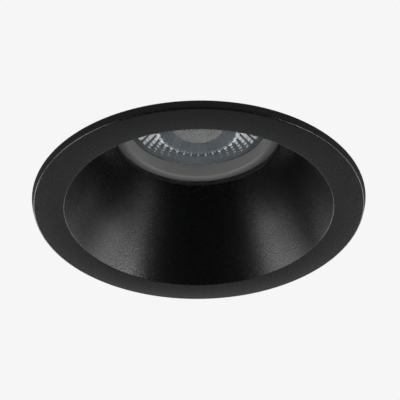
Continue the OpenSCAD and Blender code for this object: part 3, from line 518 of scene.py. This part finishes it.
# %% [markdown]
# ## The lamp's own finishes
# The spot lamp's rim is frosted grey plastic. Its lens is clear polycarbonate with a milky centre. Behind
# it the cup is white, and the driver and its board sit inside the finned body.

# %% Frosted rim, clear lens, white body, boards
lens_ior = 1.585


def frosted_rim():
    """The inner wall is frosted and pale; the face around it is smoother and darker, its darkness being
    painted shade.
    """
    finish = Finish("frosted_rim", (0.225, 0.23, 0.226), 0.42, IOR=1.49)
    mist = finish.grain(0.3, detail=3.0)
    tone = finish.grain(8.0)
    frosted = finish.mix(tone.between(0.3, 0.7), (0.09, 0.092, 0.089), (0.104, 0.106, 0.102))
    # painted shade: the face beyond the inner wall is given a darker colour than the wall
    face = finish.radius().between((rim_wall_r - 0.08) * MM, (rim_wall_r + 0.1) * MM)
    finish.set("Base Color", finish.mix(face, frosted, (0.075, 0.076, 0.074)))
    finish.set("Roughness", 0.36 + 0.14 * mist)
    finish.relief(mist, depth_mm=0.01, strength=0.3)
    return finish.material


def clear_lens():
    """A thin clear wall. Seen square on it lets nearly all through. At a flat angle the real, solid lens
    shows what it reflects instead of what stands behind it, so Fresnel's law closes the wall there, on
    its outer side only. The stepped slope inside the crest is frosted."""
    finish = Finish("clear_lens", (0.1, 0.118, 0.13), 0.06, IOR=lens_ior, Specular_IOR_Level=0.8)
    mirrored = Value(finish, finish.node("ShaderNodeFresnel", {}, lens_ior).outputs[0])
    outside = 1 - Value(finish, finish.node("ShaderNodeNewGeometry").outputs["Backfacing"])
    flow = finish.grain(5.0)
    tint = finish.mix(flow.between(0.3, 0.7), (0.052, 0.061, 0.068), (0.078, 0.089, 0.097))
    finish.set("Base Color", tint)
    finish.set("Roughness", 0.04 + 0.08 * flow)
    frosted = 1 - finish.radius().between((crest_in_r - 0.1) * MM, (crest_in_r + 0.3) * MM)
    closed = outside * mirrored.between(0.11, 0.178)
    finish.set("Alpha", 0.04 + 0.78 * frosted + 0.96 * closed)
    return finish.material


def milky_lens():
    """Milky domes, with painted shade in the dips between them: the dips lie higher, away from the eye, and
    are painted darker.
    """
    finish = Finish("milky_lens", (0.16, 0.165, 0.16), 0.2, IOR=lens_ior)
    tone = finish.grain(3.0)
    floor = lamp_z + disc_level
    # painted shade: the dips between the domes are painted darker than the domes
    hollow_shade = finish.height().between((floor - 0.25) * MM, (floor - 0.02) * MM)
    domes = finish.mix(tone.between(0.3, 0.7), (0.14, 0.145, 0.142), (0.175, 0.179, 0.175))
    finish.set("Base Color", finish.mix(hollow_shade, domes, (0.07, 0.073, 0.072)))
    finish.set("Roughness", 0.1 + 0.1 * tone)
    return finish.material


def lens_side():
    """The lens's side seen from within: a bluish gloss in front of the dark gap around it. Its dark bluish
    colour is partly the plastic's tint and partly painted shade for that gap.
    """
    finish = Finish("lens_side", (0.09, 0.105, 0.12), 0.14, metallic=0.3, IOR=lens_ior)
    flow = finish.grain(2.4, detail=3.0)
    # partly painted shade: the dark colour stands in for the dark gap seen through the clear side
    tint = finish.mix(flow.between(0.3, 0.7), (0.046, 0.054, 0.062), (0.075, 0.088, 0.098))
    finish.set("Base Color", tint)
    finish.set("Roughness", 0.1 + 0.12 * flow)
    return finish.material


def rib_edges():
    """The ribs and the crest's beads are painted almost white, a painted highlight for the light their sharp
    edges catch as it comes down the lens; the sparkle paints random spots whiter still.
    """
    finish = Finish("rib_edges", (0.86, 0.89, 0.9), 0.16, IOR=lens_ior)
    # painted highlight: the near-white colour and the whiter sparkle spots stand in for glints on clear ribs
    sparkle = finish.grain(0.6)
    finish.set("Base Color", finish.mix(sparkle.between(0.35, 0.6), (0.84, 0.87, 0.89), (0.98, 0.98, 0.98)))
    finish.set("Roughness", 0.1 + 0.2 * sparkle)
    return finish.material


def white_paint():
    finish = Finish("white_paint", (0.78, 0.78, 0.77), 0.38)
    peel = finish.grain(0.9)
    tone = finish.grain(8.0)
    finish.set("Base Color", finish.mix(tone.between(0.3, 0.7), (0.72, 0.72, 0.71), (0.82, 0.82, 0.81)))
    finish.set("Roughness", 0.3 + 0.16 * peel)
    finish.relief(peel, depth_mm=0.02, strength=0.3)
    return finish.material


def led_board():
    """White solder mask, with the phosphor dome in yellow: the dome is what lies below the board's face."""
    finish = Finish("led_board", (0.82, 0.82, 0.8), 0.4)
    board_face = low("led_module") + 0.86
    dome = 1 - finish.height().between((board_face - 0.02) * MM, (board_face + 0.02) * MM)
    finish.set("Base Color", finish.mix(dome, (0.82, 0.82, 0.8), (0.72, 0.5, 0.06)))
    return finish.material


def circuit_board():
    """Green solder mask over copper, which shows as paler patches."""
    finish = Finish("circuit_board", (0.02, 0.13, 0.05), 0.35)
    between_patches = finish.cells(1.6).between(0.3, 0.34)
    finish.set("Base Color", finish.mix(between_patches, (0.03, 0.2, 0.08), (0.015, 0.1, 0.04)))
    return finish.material


materials = {
    "black_powder_coat": black_powder_coat(),
    "closed_cell_foam": foam_rubber(),
    "black_silicone": silicone(),
    "die_cast_alloy": cast_alloy(),
    "zinc_plated_steel": plated_sheet(),
    "spring_steel": spring_steel(),
    "screw_steel": plated_screw(),
    "vinyl_sleeve": vinyl(),
    "lamp_rim_plastic": frosted_rim(),
    "lens_plastic": clear_lens(),
    "led_board": led_board(),
    "lamp_body_plastic": white_paint(),
    "circuit_board": circuit_board(),
    "lamp_cap_plastic": moulded_plastic("cap_plastic", (0.8, 0.8, 0.78)),
    "pin_metal": nickel_pins(),
    "glazed_ceramic": steatite(),
    "brass": bright_brass(),
    "brown_insulation": insulation("brown_insulation", (0.1, 0.035, 0.015)),
    "blue_insulation": insulation("blue_insulation", (0.01, 0.07, 0.33)),
    "green_insulation": insulation("green_insulation", (0.05, 0.26, 0.03), stripe=(0.8, 0.68, 0.04)),
    "black_plastic": moulded_plastic("box_plastic", (0.018, 0.018, 0.019)),
    "terminal_plastic": moulded_plastic("terminal_plastic", (0.72, 0.71, 0.64)),
    "grey_plastic": moulded_plastic("grey_plastic", (0.1, 0.1, 0.11)),
}
lens_finishes = {
    "clear": materials["lens_plastic"],
    "centre": milky_lens(),
    "side": lens_side(),
    "ribs": rib_edges(),
}
slot_of = {entry["node"]: entry["material_slot"] for entry in frame["record"]["subparts"]}
print(len(materials), "finishes, and three more for the lens")


def dress(piece, slot):
    """Gives a piece the finish of one of the record's material slots."""
    piece.data.materials.clear()
    piece.data.materials.append(materials[slot])
    return piece


# %% [markdown]
# ## The trim
# The trim is one casting: a flat flange, a cone that rises to the lamp, a lip at the cone's throat with a
# flat ledge behind it, and a skirt that locks into the ring. It is made as one closed profile carried round
# the axis, finer than the engineering model, because its smooth satin cone fills most of the picture and
# any facet would show. The corner radii are those of a casting: a crisp mouth that catches a thin line of
# light, and a softer outer edge. A profile corner is its radius, its height and, if it is rounded, its
# rounding.

# %% Make the trim's casting
ring_r = reach("mounting_ring")
gasket_out_r = reach("soffit_gasket")
lip_top = low("lamp_seal")
ledge_r = reach("lamp_seal") + 0.6
edge_gap = 0.4
flange_draft = 0.65
mouth_r = 37.4
cone_depth = 27.4
throat_r = 24.45
lip_r = 24.1
wall = 1.545
recess_floor = -1.2
recess_r = ring_r + 0.3
groove_in_r = recess_r + 0.8
groove_out_r = gasket_out_r + 0.05
groove_floor = low("soffit_gasket")
skirt_out_r, skirt_in_r, skirt_top = 38.1, 37.0, 8.0
slope = (mouth_r - throat_r) / cone_depth


def outside_of_cone(radius):
    """The height at which the cone's outer wall has a radius: it falls by the slope, as the inner one."""
    return face_z + (mouth_r + wall - radius) / slope


trim = turned("trim_casting", [
    (mouth_r, face_z, 0.28),
    (flange_r - flange_draft, face_z, 0.45),
    (flange_r, -edge_gap, 0.3),
    (groove_out_r, -edge_gap),
    (groove_out_r, groove_floor),
    (groove_in_r, groove_floor),
    (groove_in_r, -edge_gap),
    (recess_r, -edge_gap),
    (recess_r, recess_floor),
    (skirt_out_r, recess_floor),
    (skirt_out_r, skirt_top, 0.3),
    (skirt_in_r, skirt_top, 0.3),
    (skirt_in_r, outside_of_cone(skirt_in_r)),
    (ledge_r, outside_of_cone(ledge_r)),
    (ledge_r, lip_top, 0.3),
    (lip_r, lip_top, 0.12),
    (lip_r, face_z + cone_depth, 0.12),
    (throat_r, face_z + cone_depth),
], "trim", "trim_ring", segments=360)
dress(trim, "black_powder_coat")
print("trim:", len(trim.data.polygons), "faces")

# %% [markdown]
# ## The bayonet slots
# Three slots in the skirt turn a corner: the ring's lugs enter them from above, and a twist carries the
# lugs along the level part. Each slot is cut with a curved bar of the same outline, low along the level
# part and tall at the way in.

# %% Cut the slots out of the skirt
slot_half_mm = 1.65
slot_half_deg = np.degrees(np.arcsin(slot_half_mm / skirt_in_r))
slot_floor, slot_height = 3.0, 3.2
slot_turns = (30, 150, 270)
twist = joints["trim_twist"]["range_deg"][1]
overcut = 0.25


def slot_bar(turn_deg, level_steps=16, way_in_steps=6):
    """A bar of four-cornered sections along an arc: its top steps up where the way in begins."""
    level = np.linspace(-slot_half_deg, twist - slot_half_deg, level_steps)
    way_in = np.linspace(twist - slot_half_deg, twist + slot_half_deg, way_in_steps)
    angle = np.radians(np.concatenate([level, way_in]) + turn_deg)
    top = np.repeat([slot_floor + slot_height, skirt_top + 2 * overcut], [level_steps, way_in_steps])
    bottom = np.full(len(angle), slot_floor)
    inner, outer = skirt_in_r - overcut, skirt_out_r + overcut
    corner_r = np.array([inner, outer, outer, inner])
    points = np.stack([
        np.outer(np.cos(angle), corner_r),
        np.outer(np.sin(angle), corner_r),
        np.stack([bottom, bottom, top, top], 1),
    ], -1)
    last = 4 * (len(angle) - 1)
    ends = np.array([[3, 2, 1, 0], [last, last + 1, last + 2, last + 3]])
    return points.reshape(-1, 3), np.vstack([grid_quads(len(angle), 4, wrap_rows=False), ends])


def cut_away(piece, points, quads):
    """Takes a closed shape out of a piece for good, with Blender's exact boolean."""
    tool = closed_piece("cutting_tool", points, quads, None)
    cut = piece.modifiers.new("cut", "BOOLEAN")
    cut.object, cut.operation, cut.solver = tool, "DIFFERENCE", "EXACT"
    seen = piece.evaluated_get(bpy.context.evaluated_depsgraph_get())
    result = bpy.data.meshes.new_from_object(seen)
    piece.modifiers.remove(cut)
    piece.data = result
    bpy.data.objects.remove(tool)
    tidy_mesh(result, smooth_deg)


before = len(trim.data.polygons)
for turn in slot_turns:
    cut_away(trim, *slot_bar(turn))
print("trim with its slots:", before, "to", len(trim.data.polygons), "faces")

# %% [markdown]
# ## The lamp's frosted rim
# The rim has a pale, frosted inner wall that rises from its face to the lens, a narrow face that is painted
# darker as painted shade, and a shallow chamfer outside it that runs under the trim's lip.

# %% Make the rim
lens_seat_z = lamp_z + 4.2
rim_top_z = lamp_z + 6.6
seat_r = 22.8
rim = turned("lamp_rim", [
    (rim_wall_r - 0.25, lens_seat_z),
    (rim_wall_r, lamp_z + 0.3, 0.2),
    (rim_wall_r + 0.5, lamp_z, 0.2),
    (22.5, lamp_z, 0.25),
    (23.0, lamp_z + 0.15),
    (24.4, lamp_z + 0.7, 0.3),
    (lamp_r, lamp_z + 1.1, 0.2),
    (lamp_r, lamp_z + 5.8, 0.5),
    (lamp_r - 0.9, rim_top_z),
    (seat_r, rim_top_z),
    (seat_r, lens_seat_z),
], "lamp", "lamp_bezel")
dress(rim, "lamp_rim_plastic")

# %% [markdown]
# ## The lens
# The lens is one clear moulding that gathers the light. Seen from below, its front is a crater: in the
# middle a small milky disc of honeycomb cells over the light source, around it a frosted, stepped slope out
# to a crest, and a clear slope back to the rim. Behind it the side narrows like a funnel and carries sharp
# ribs, which catch the light as bright lines, and the crest has a row of beads. Glass that really bends
# light would hide most of that behind noise, so the front is a thin wall, and the side and its ribs stand
# behind it with their own finishes. The ribs' and beads' near-white colour is a painted highlight for those
# bright lines, the side's dark colour is partly painted shade, and the honeycomb's dips carry painted shade.

# %% The crater's front
wall_mm = 0.9
slope_end_r, lens_r, edge_level = 20.7, 22.7, 4.25
step_mm, step_pitch = 0.1, 1.2
wave_mm, wave_pitch, wave_in_r, wave_out_r = 0.026, 1.64, 12.2, 20.4
crater_r = [disc_r, crest_in_r, crest_out_r, slope_end_r, lens_r]
crater_level = [disc_level, crest_level, crest_level, edge_level, edge_level]


def crater_height(radius):
    """Straight slopes between the crater's corners, with fine steps on the inner slope and soft waves on
    the outer one, step_mm |x - 1/2| and wave_mm sin(2 pi x), where x counts the pitches passed. The waves
    show as faint arcs."""
    level = np.interp(radius, crater_r, crater_level)
    inner = (radius > disc_r) & (radius < crest_in_r - 0.1)
    outer = (radius > wave_in_r) & (radius < wave_out_r)
    steps = step_mm * inner * np.abs((radius - disc_r) / step_pitch % 1 - 0.5)
    waves = wave_mm * outer * np.sin(2 * np.pi * (radius - wave_in_r) / wave_pitch)
    return lamp_z + level + steps + waves


front_r = np.linspace(lens_r, disc_r, 110)
outline = np.vstack([
    np.stack([front_r, crater_height(front_r)], 1),
    np.stack([front_r[::-1], crater_height(front_r[::-1]) + wall_mm], 1),
])
skin_points = carried_round(outline, 216)
skin_quads = grid_quads(*skin_points.shape[:2])
skin = closed_piece(
    "lamp_lens_front", skin_points.reshape(-1, 3), skin_quads, "lamp", "lamp_lens", sharp_deg=25
)
print("lens front:", len(skin.data.polygons), "faces")


# %% The honeycomb disc
cell_mm, dome_mm, edge_mm = 0.68, 0.4, 0.3


def honeycomb_height(x, y, pitch):
    """Height 0 to 1 of round domes on a hexagonal lattice: one less the squared distance, in half
    pitches, to the nearest lattice point, found from two interleaved rectangular lattices."""
    row = pitch * np.sqrt(3)
    nearest = np.full(x.shape, np.inf)
    for shift in (0.0, 0.5):
        dx = (x / pitch - shift + 0.5) % 1 - 0.5
        dy = (y / row - shift + 0.5) % 1 - 0.5
        nearest = np.minimum(nearest, (dx * pitch) ** 2 + (dy * row) ** 2)
    return np.clip(1 - nearest / (pitch / 2) ** 2, 0, 1)


def honeycomb_disc(segments=240, rings=80):
    """The front over (radius, angle), lower by each dome's height, which fades out over the last edge_mm.
    The back is flat."""
    angle = 2 * np.pi * np.arange(segments) / segments
    radius = np.linspace(0, disc_r, rings)
    x, y = np.outer(np.cos(angle), radius), np.outer(np.sin(angle), radius)
    fade = np.clip((disc_r - radius) / edge_mm, 0, 1)[None]
    front = lamp_z + disc_level - dome_mm * fade * honeycomb_height(x, y, cell_mm)
    back = np.full_like(front, lamp_z + disc_level + wall_mm)
    front, back = (np.stack([x, y, height], -1) for height in (front, back))
    return np.concatenate([front, back[:, ::-1]], axis=1)


disc_points = honeycomb_disc()
disc_quads = grid_quads(*disc_points.shape[:2], wrap_columns=False)
disc = closed_piece("lamp_lens_centre", disc_points.reshape(-1, 3), disc_quads, "lamp", "lamp_lens")
print("honeycomb disc:", len(disc.data.polygons), "faces")

# %% The side and its ribs
rib_count, rib_width, rib_height = 52, 0.42, 1.3
rib_from, rib_to = 1.2, 11.5
bead_count, bead_width, bead_height = 76, 0.3, 0.3
bead_from, bead_to = (11.6, lamp_z + 2.0), (12.6, lamp_z + 2.2)
side_r, side_z = 21.3, lamp_z + 5.2
foot_r, foot_z = 7.7, lamp_z + 12.6
foot_wall = 0.5
near_axis = 0.01

flank = turned("lamp_lens_side", [
    (side_r, side_z),
    (foot_r, foot_z),
    (near_axis, foot_z),
    (near_axis, foot_z + foot_wall),
    (foot_r + 0.3, foot_z + foot_wall),
    (side_r + 0.6, side_z),
], "lamp", "lamp_lens", segments=144)


def ridges(count, start, end, width, height, up):
    """Straight four-sided ridges between two (radius, height) points, one each 360 / count degrees. A
    section is almost a triangle: its foot is width wide, its top 0.08 width, and height along up."""
    angle = 2 * np.pi * np.arange(count) / count
    outward = np.stack([np.cos(angle), np.sin(angle), np.zeros(count)], 1)[:, None, None]
    around = np.stack([-np.sin(angle), np.cos(angle), np.zeros(count)], 1)[:, None, None]
    upward = np.array([0.0, 0.0, 1.0])
    ends = np.array([start, end])[None, :, None]
    sideways = np.array([-0.5, -0.04, 0.04, 0.5])[None, None, :, None] * width
    raised = np.array([0.0, height, height, 0.0])[None, None, :, None]
    radius = ends[..., :1] + raised * up[0]
    level = ends[..., 1:] + raised * up[1]
    points = radius * outward + level * upward + sideways * around
    section = np.array([[0, 1, 5, 4], [1, 2, 6, 5], [2, 3, 7, 6], [3, 0, 4, 7], [3, 2, 1, 0], [4, 5, 6, 7]])
    quads = (8 * np.arange(count)[:, None, None] + section).reshape(-1, 4)
    return points.reshape(-1, 3), quads


top = np.array([side_r, side_z])
along = np.array([foot_r, foot_z]) - top
along /= np.linalg.norm(along)
inward = np.array([-along[1], along[0]])
down = np.array([0.0, -1.0])
rib_points, rib_quads = ridges(
    rib_count, top + rib_from * along, top + rib_to * along, rib_width, rib_height, inward
)
bead_points, bead_quads = ridges(bead_count, bead_from, bead_to, bead_width, bead_height, down)
ribs = closed_piece(
    "lamp_lens_ribs", np.vstack([rib_points, bead_points]),
    np.vstack([rib_quads, bead_quads + len(rib_points)]), "lamp", "lamp_lens", sharp_deg=20,
)
for piece, finish in ((skin, "clear"), (disc, "centre"), (flank, "side"), (ribs, "ribs")):
    piece.data.materials.append(lens_finishes[finish])
print("ribs:", rib_count, "and beads on the crest:", bead_count)

# %% [markdown]
# ## The springs
# A clip's torsion spring is one wire: a straight tail against the bracket, about three turns round the
# pin, and a tail along the arm. When the arm swings, the turns wind up.

# %% Carry a circle along a path


def wire_along(path, diameter, sides):
    """Rings of points about a path. Each ring's axes are the last ring's, turned as little as possible:
    what lies along the new tangent is taken away from the old axis. The ends close to a point."""
    tangent = np.gradient(path, axis=0)
    tangent /= np.linalg.norm(tangent, axis=1)[:, None]
    not_along_it = [0.3, 1.0, 0.2]
    across = np.cross(tangent[0], not_along_it)
    rings = []
    turn = 2 * np.pi * np.arange(sides) / sides
    for centre, ahead in zip(path, tangent):
        across = across - ahead * (across @ ahead)
        across /= np.linalg.norm(across)
        other = np.cross(ahead, across)
        circle = np.outer(np.cos(turn), across) + np.outer(np.sin(turn), other)
        rings.append(centre + diameter / 2 * circle)
    ends = [np.repeat(path[k][None], sides, axis=0) for k in (0, -1)]
    return np.stack([ends[0], *rings, ends[1]])


# %% Make both torsion springs
wire_d, wire_sides = 1.0, 14
coil_r, coil_pitch = 2.0, 1.45
arm_rest_deg = 35.0
coil_turns = 3 + (90 - arm_rest_deg) / 360
coil_half = coil_pitch * coil_turns / 2
tail_fixed, tail_moving, bend = 7.0, 11.0, 0.6


def spring_path(sign):
    """Down the bracket, round the pin at an even pitch along Y, and out along the arm. The path is that of
    the right-hand spring, and a sign of -1 mirrors it."""
    share = np.linspace(0, 1, 120)
    turn = np.pi + 2 * np.pi * coil_turns * share
    coil = np.stack([coil_r * np.cos(turn), coil_half * (2 * share - 1), coil_r * np.sin(turn)], 1)
    down = np.linspace(tail_fixed, bend, 8)
    first = np.stack([np.full_like(down, -coil_r), np.full_like(down, -coil_half), down], 1)
    out = np.linspace(bend, tail_moving, 10)
    rest = np.radians(arm_rest_deg)
    last = np.stack([
        -coil_r * np.sin(rest) + out * np.cos(rest),
        np.full_like(out, coil_half),
        -coil_r * np.cos(rest) - out * np.sin(rest),
    ], 1)
    path = np.vstack([first, coil, last]) + [pivot_x, 0, pivot_z]
    return path * [sign, 1, 1]


for sign, word in ((1, "right"), (-1, "left")):
    points = wire_along(spring_path(sign), wire_d, wire_sides)
    quads = grid_quads(*points.shape[:2], wrap_rows=False)
    spring = closed_piece(
        f"spring_{word}", points.reshape(-1, 3), quads, None, f"torsion_spring_{word}", sharp_deg=60
    )
    pin_x, pin_z = sign * pivot_x * MM, pivot_z * MM
    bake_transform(spring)
    dress(spring, "spring_steel")
print("springs: two, of", round(coil_turns, 2), "turns")

# %% [markdown]
# ## Everything else keeps its engineering shape
# The ring, the cage, the brackets and the terminal box are already the real shape. Their meshes come as
# loose flat triangles, so each is copied, its doubled points are merged, flat areas are joined up again,
# and a tiny bevel rounds the edges, as a press or a mould leaves them. The copy stands in for the node.

# %% Copy a node's mesh and soften its edges
bevel_mm = 0.12
flat_deg, edge_deg = 0.5, 32


def softened(node):
    """A copy of a node's mesh, merged, smooth below edge_deg, with its sharper edges bevelled."""
    mesh = frame["nodes"][node].data.copy()
    mesh.name = node + "_soft"
    tidy_mesh(mesh, edge_deg, flat_deg)
    piece = bpy.data.objects.new(node + "_soft", mesh)
    bpy.context.scene.collection.objects.link(piece)
    bevel = piece.modifiers.new("edges", "BEVEL")
    bevel.width = bevel_mm * MM
    bevel.segments = 2
    bevel.limit_method = "ANGLE"
    bevel.angle_limit = np.radians(edge_deg)
    bevel.harden_normals = True
    bevel.use_clamp_overlap = True
    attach(piece, body_of[node])
    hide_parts(node)
    return dress(piece, slot_of[node])


remade = {"trim_ring", "lamp_bezel", "lamp_lens", "torsion_spring_left", "torsion_spring_right"}
for node in sorted(set(body_of) - remade):
    softened(node)
print(len(body_of) - len(remade), "pieces softened")

# %% [markdown]
# ## The soffit
# In the picture the light hangs in an even, pale soffit that throws no shadow on itself. It is a thin
# sheet with a round hole: from below it shows its own pale colour to the eye and to reflections, and from
# above it can't be seen, so that the hidden half of the light stays in view.

# %% Stage the soffit
background = 0.9216
soffit_gloss = 0.11
hole_r, soffit_r, soffit_z = 40.0, 6000.0, 0.02


def pale_sheet(name, inner_mm, outer_mm, height_mm, segments=96):
    """A flat ring between two radii, facing down."""
    outline = np.array([[inner_mm, height_mm], [outer_mm, height_mm]])
    points = carried_round(outline, segments).reshape(-1, 3)
    mesh = bpy.data.meshes.new(name)
    mesh.from_pydata(points * MM, [], grid_quads(segments, 2, wrap_columns=False))
    tidy_mesh(mesh, smooth_deg)
    sheet = bpy.data.objects.new(name, mesh)
    bpy.context.scene.collection.objects.link(sheet)
    return sheet


def soffit_paint():
    """Pale to the camera and through glass, dim to gloss, and only from below: all else passes through."""
    finish = Finish("soffit_paint", (0.8, 0.8, 0.8), 0.9)
    path = finish.node("ShaderNodeLightPath").outputs
    eye = (Value(finish, path["Is Camera Ray"]) + Value(finish, path["Is Transmission Ray"])).between(0, 1)
    gloss = Value(finish, path["Is Glossy Ray"])
    seen = (eye + gloss).between(0.0, 1.0)
    below = 1 - Value(finish, finish.node("ShaderNodeNewGeometry").outputs["Backfacing"])
    strength = soffit_gloss + (background - soffit_gloss) * eye
    glow = finish.node("ShaderNodeEmission", {}, (1.0, 1.0, 1.0, 1.0), strength)
    clear = finish.node("ShaderNodeBsdfTransparent")
    both = finish.node("ShaderNodeMixShader", {}, seen * below, clear.outputs[0], glow.outputs[0])
    finish.feed(finish.tree.nodes["Material Output"].inputs["Surface"], both.outputs[0])
    return finish.material


soffit = pale_sheet("soffit", hole_r, soffit_r, soffit_z)
soffit.data.materials.append(soffit_paint())
print("soffit: a hole of", 2 * hole_r, "mm")

# %% [markdown]
# ## The light on the trim
# The photograph gives its light away in the cone, which is almost a mirror: two bright wedges at the left
# and two at the right, darkness between them, and a dim, even grey in the flange. Worked back from there,
# the gloss sees four soft panels, low at both sides, and darkness below and on the viewer's side. Beyond
# the light stands a dim wall that brightens towards the horizon. Above the soffit an even, pale room
# lights the hidden half.

# %% The room
wall_dim, wall_bright = 0.145, 1.1
wall_from_y, wall_full_y = 0.35, 0.65
dim_below_z, room_full_z = -0.5, 0.2
room_light = 0.85
world = bpy.data.worlds.new("room")
bpy.context.scene.world = world
world.use_nodes = True
nodes, links = world.node_tree.nodes, world.node_tree.links


def ramp(value, low_in, high_in, low_out, high_out):
    """A straight ramp between two levels, held at both ends."""
    made = nodes.new("ShaderNodeMapRange")
    for socket, number in zip(list(made.inputs)[1:5], (low_in, high_in, low_out, high_out)):
        socket.default_value = number
    links.new(value, made.inputs[0])
    return made.outputs[0]


def combined(operation, first, second):
    made = nodes.new("ShaderNodeMath")
    made.operation = operation
    links.new(first, made.inputs[0])
    links.new(second, made.inputs[1])
    return made.outputs[0]


split = nodes.new("ShaderNodeSeparateXYZ")
links.new(nodes.new("ShaderNodeTexCoord").outputs["Generated"], split.inputs[0])
beyond = ramp(split.outputs["Y"], wall_from_y, wall_full_y, 0.0, 1.0)
towards_horizon = ramp(split.outputs["Z"], dim_below_z, 0.0, wall_dim, wall_bright)
wall_light = combined("MULTIPLY", beyond, towards_horizon)
above = ramp(split.outputs["Z"], 0.0, room_full_z, 0.0, room_light)
everywhere = combined("MAXIMUM", wall_light, above)
path = nodes.new("ShaderNodeLightPath")
eye_or_room = nodes.new("ShaderNodeMix")
links.new(path.outputs["Is Camera Ray"], eye_or_room.inputs[0])
links.new(everywhere, eye_or_room.inputs[2])
eye_or_room.inputs[3].default_value = background
links.new(eye_or_room.outputs[0], nodes["Background"].inputs["Strength"])
nodes["Background"].inputs["Color"].default_value = (1, 1, 1, 1)

# %% [markdown]
# ## Four soft panels and three fill lights
# A panel's brightness is its power over four times its area. Its size is given as the angle that it fills,
# seen from the light, because that is what the highlights show. The lamp's face would be too dark under
# the four panels, so three fill lights stand steeper below it. They are hidden from gloss, because the
# photograph shows no highlight from them in the cone.

# %% Hang the panels
panel_distance = 900.0
# each panel: its name, azimuth, elevation, half width and half height in degrees, and brightness
panels = (
    ("far_right", 27.6, -18.9, 39.1, 8.7, 1.8),
    ("far_left", 132.8, -16.0, 18.1, 8.7, 2.6),
    ("near_left", 187.2, -28.4, 19.8, 16.0, 1.9),
    ("near_right", 338.0, -26.3, 7.8, 5.1, 7.1),
)
# each fill: its name, azimuth and brightness; all three have one elevation and one half size
fills = (("viewer_side", 270.0, 6.0), ("fill_right", 352.0, 6.2), ("fill_left", 188.0, 5.2))
fill_elevation, fill_half = -45.0, 18.0


def soft_panel(name, azimuth, elevation, half_width_deg, half_height_deg, brightness):
    """A rectangular lamp that faces the object: its half sides are distance x tan(half angle)."""
    azimuth, elevation = np.radians([azimuth, elevation])
    towards = np.array([
        np.cos(elevation) * np.cos(azimuth), np.cos(elevation) * np.sin(azimuth), np.sin(elevation)
    ])
    width, height = 2 * panel_distance * MM * np.tan(np.radians([half_width_deg, half_height_deg]))
    lamp = bpy.data.lights.new(name, "AREA")
    lamp.shape = "RECTANGLE"
    lamp.size, lamp.size_y = width, height
    lamp.energy = 4 * width * height * brightness
    placed = bpy.data.objects.new(name, lamp)
    bpy.context.scene.collection.objects.link(placed)
    side_axis = np.cross([0, 0, 1], towards)
    side_axis /= np.linalg.norm(side_axis)
    rise_axis = np.cross(towards, side_axis)
    place = towards * panel_distance * MM
    placed.matrix_world = Matrix([
        [side_axis[0], rise_axis[0], towards[0], place[0]],
        [side_axis[1], rise_axis[1], towards[1], place[1]],
        [side_axis[2], rise_axis[2], towards[2], place[2]],
        [0, 0, 0, 1],
    ])
    print(f"{name}: {width:.2f} x {height:.2f} m, {lamp.energy:.1f} W")
    return placed


for panel in panels:
    soft_panel(*panel)
for name, azimuth, brightness in fills:
    fill = soft_panel(name, azimuth, fill_elevation, fill_half, fill_half, brightness)
    fill.visible_glossy = False

bpy.context.scene.view_settings.view_transform = "Standard"
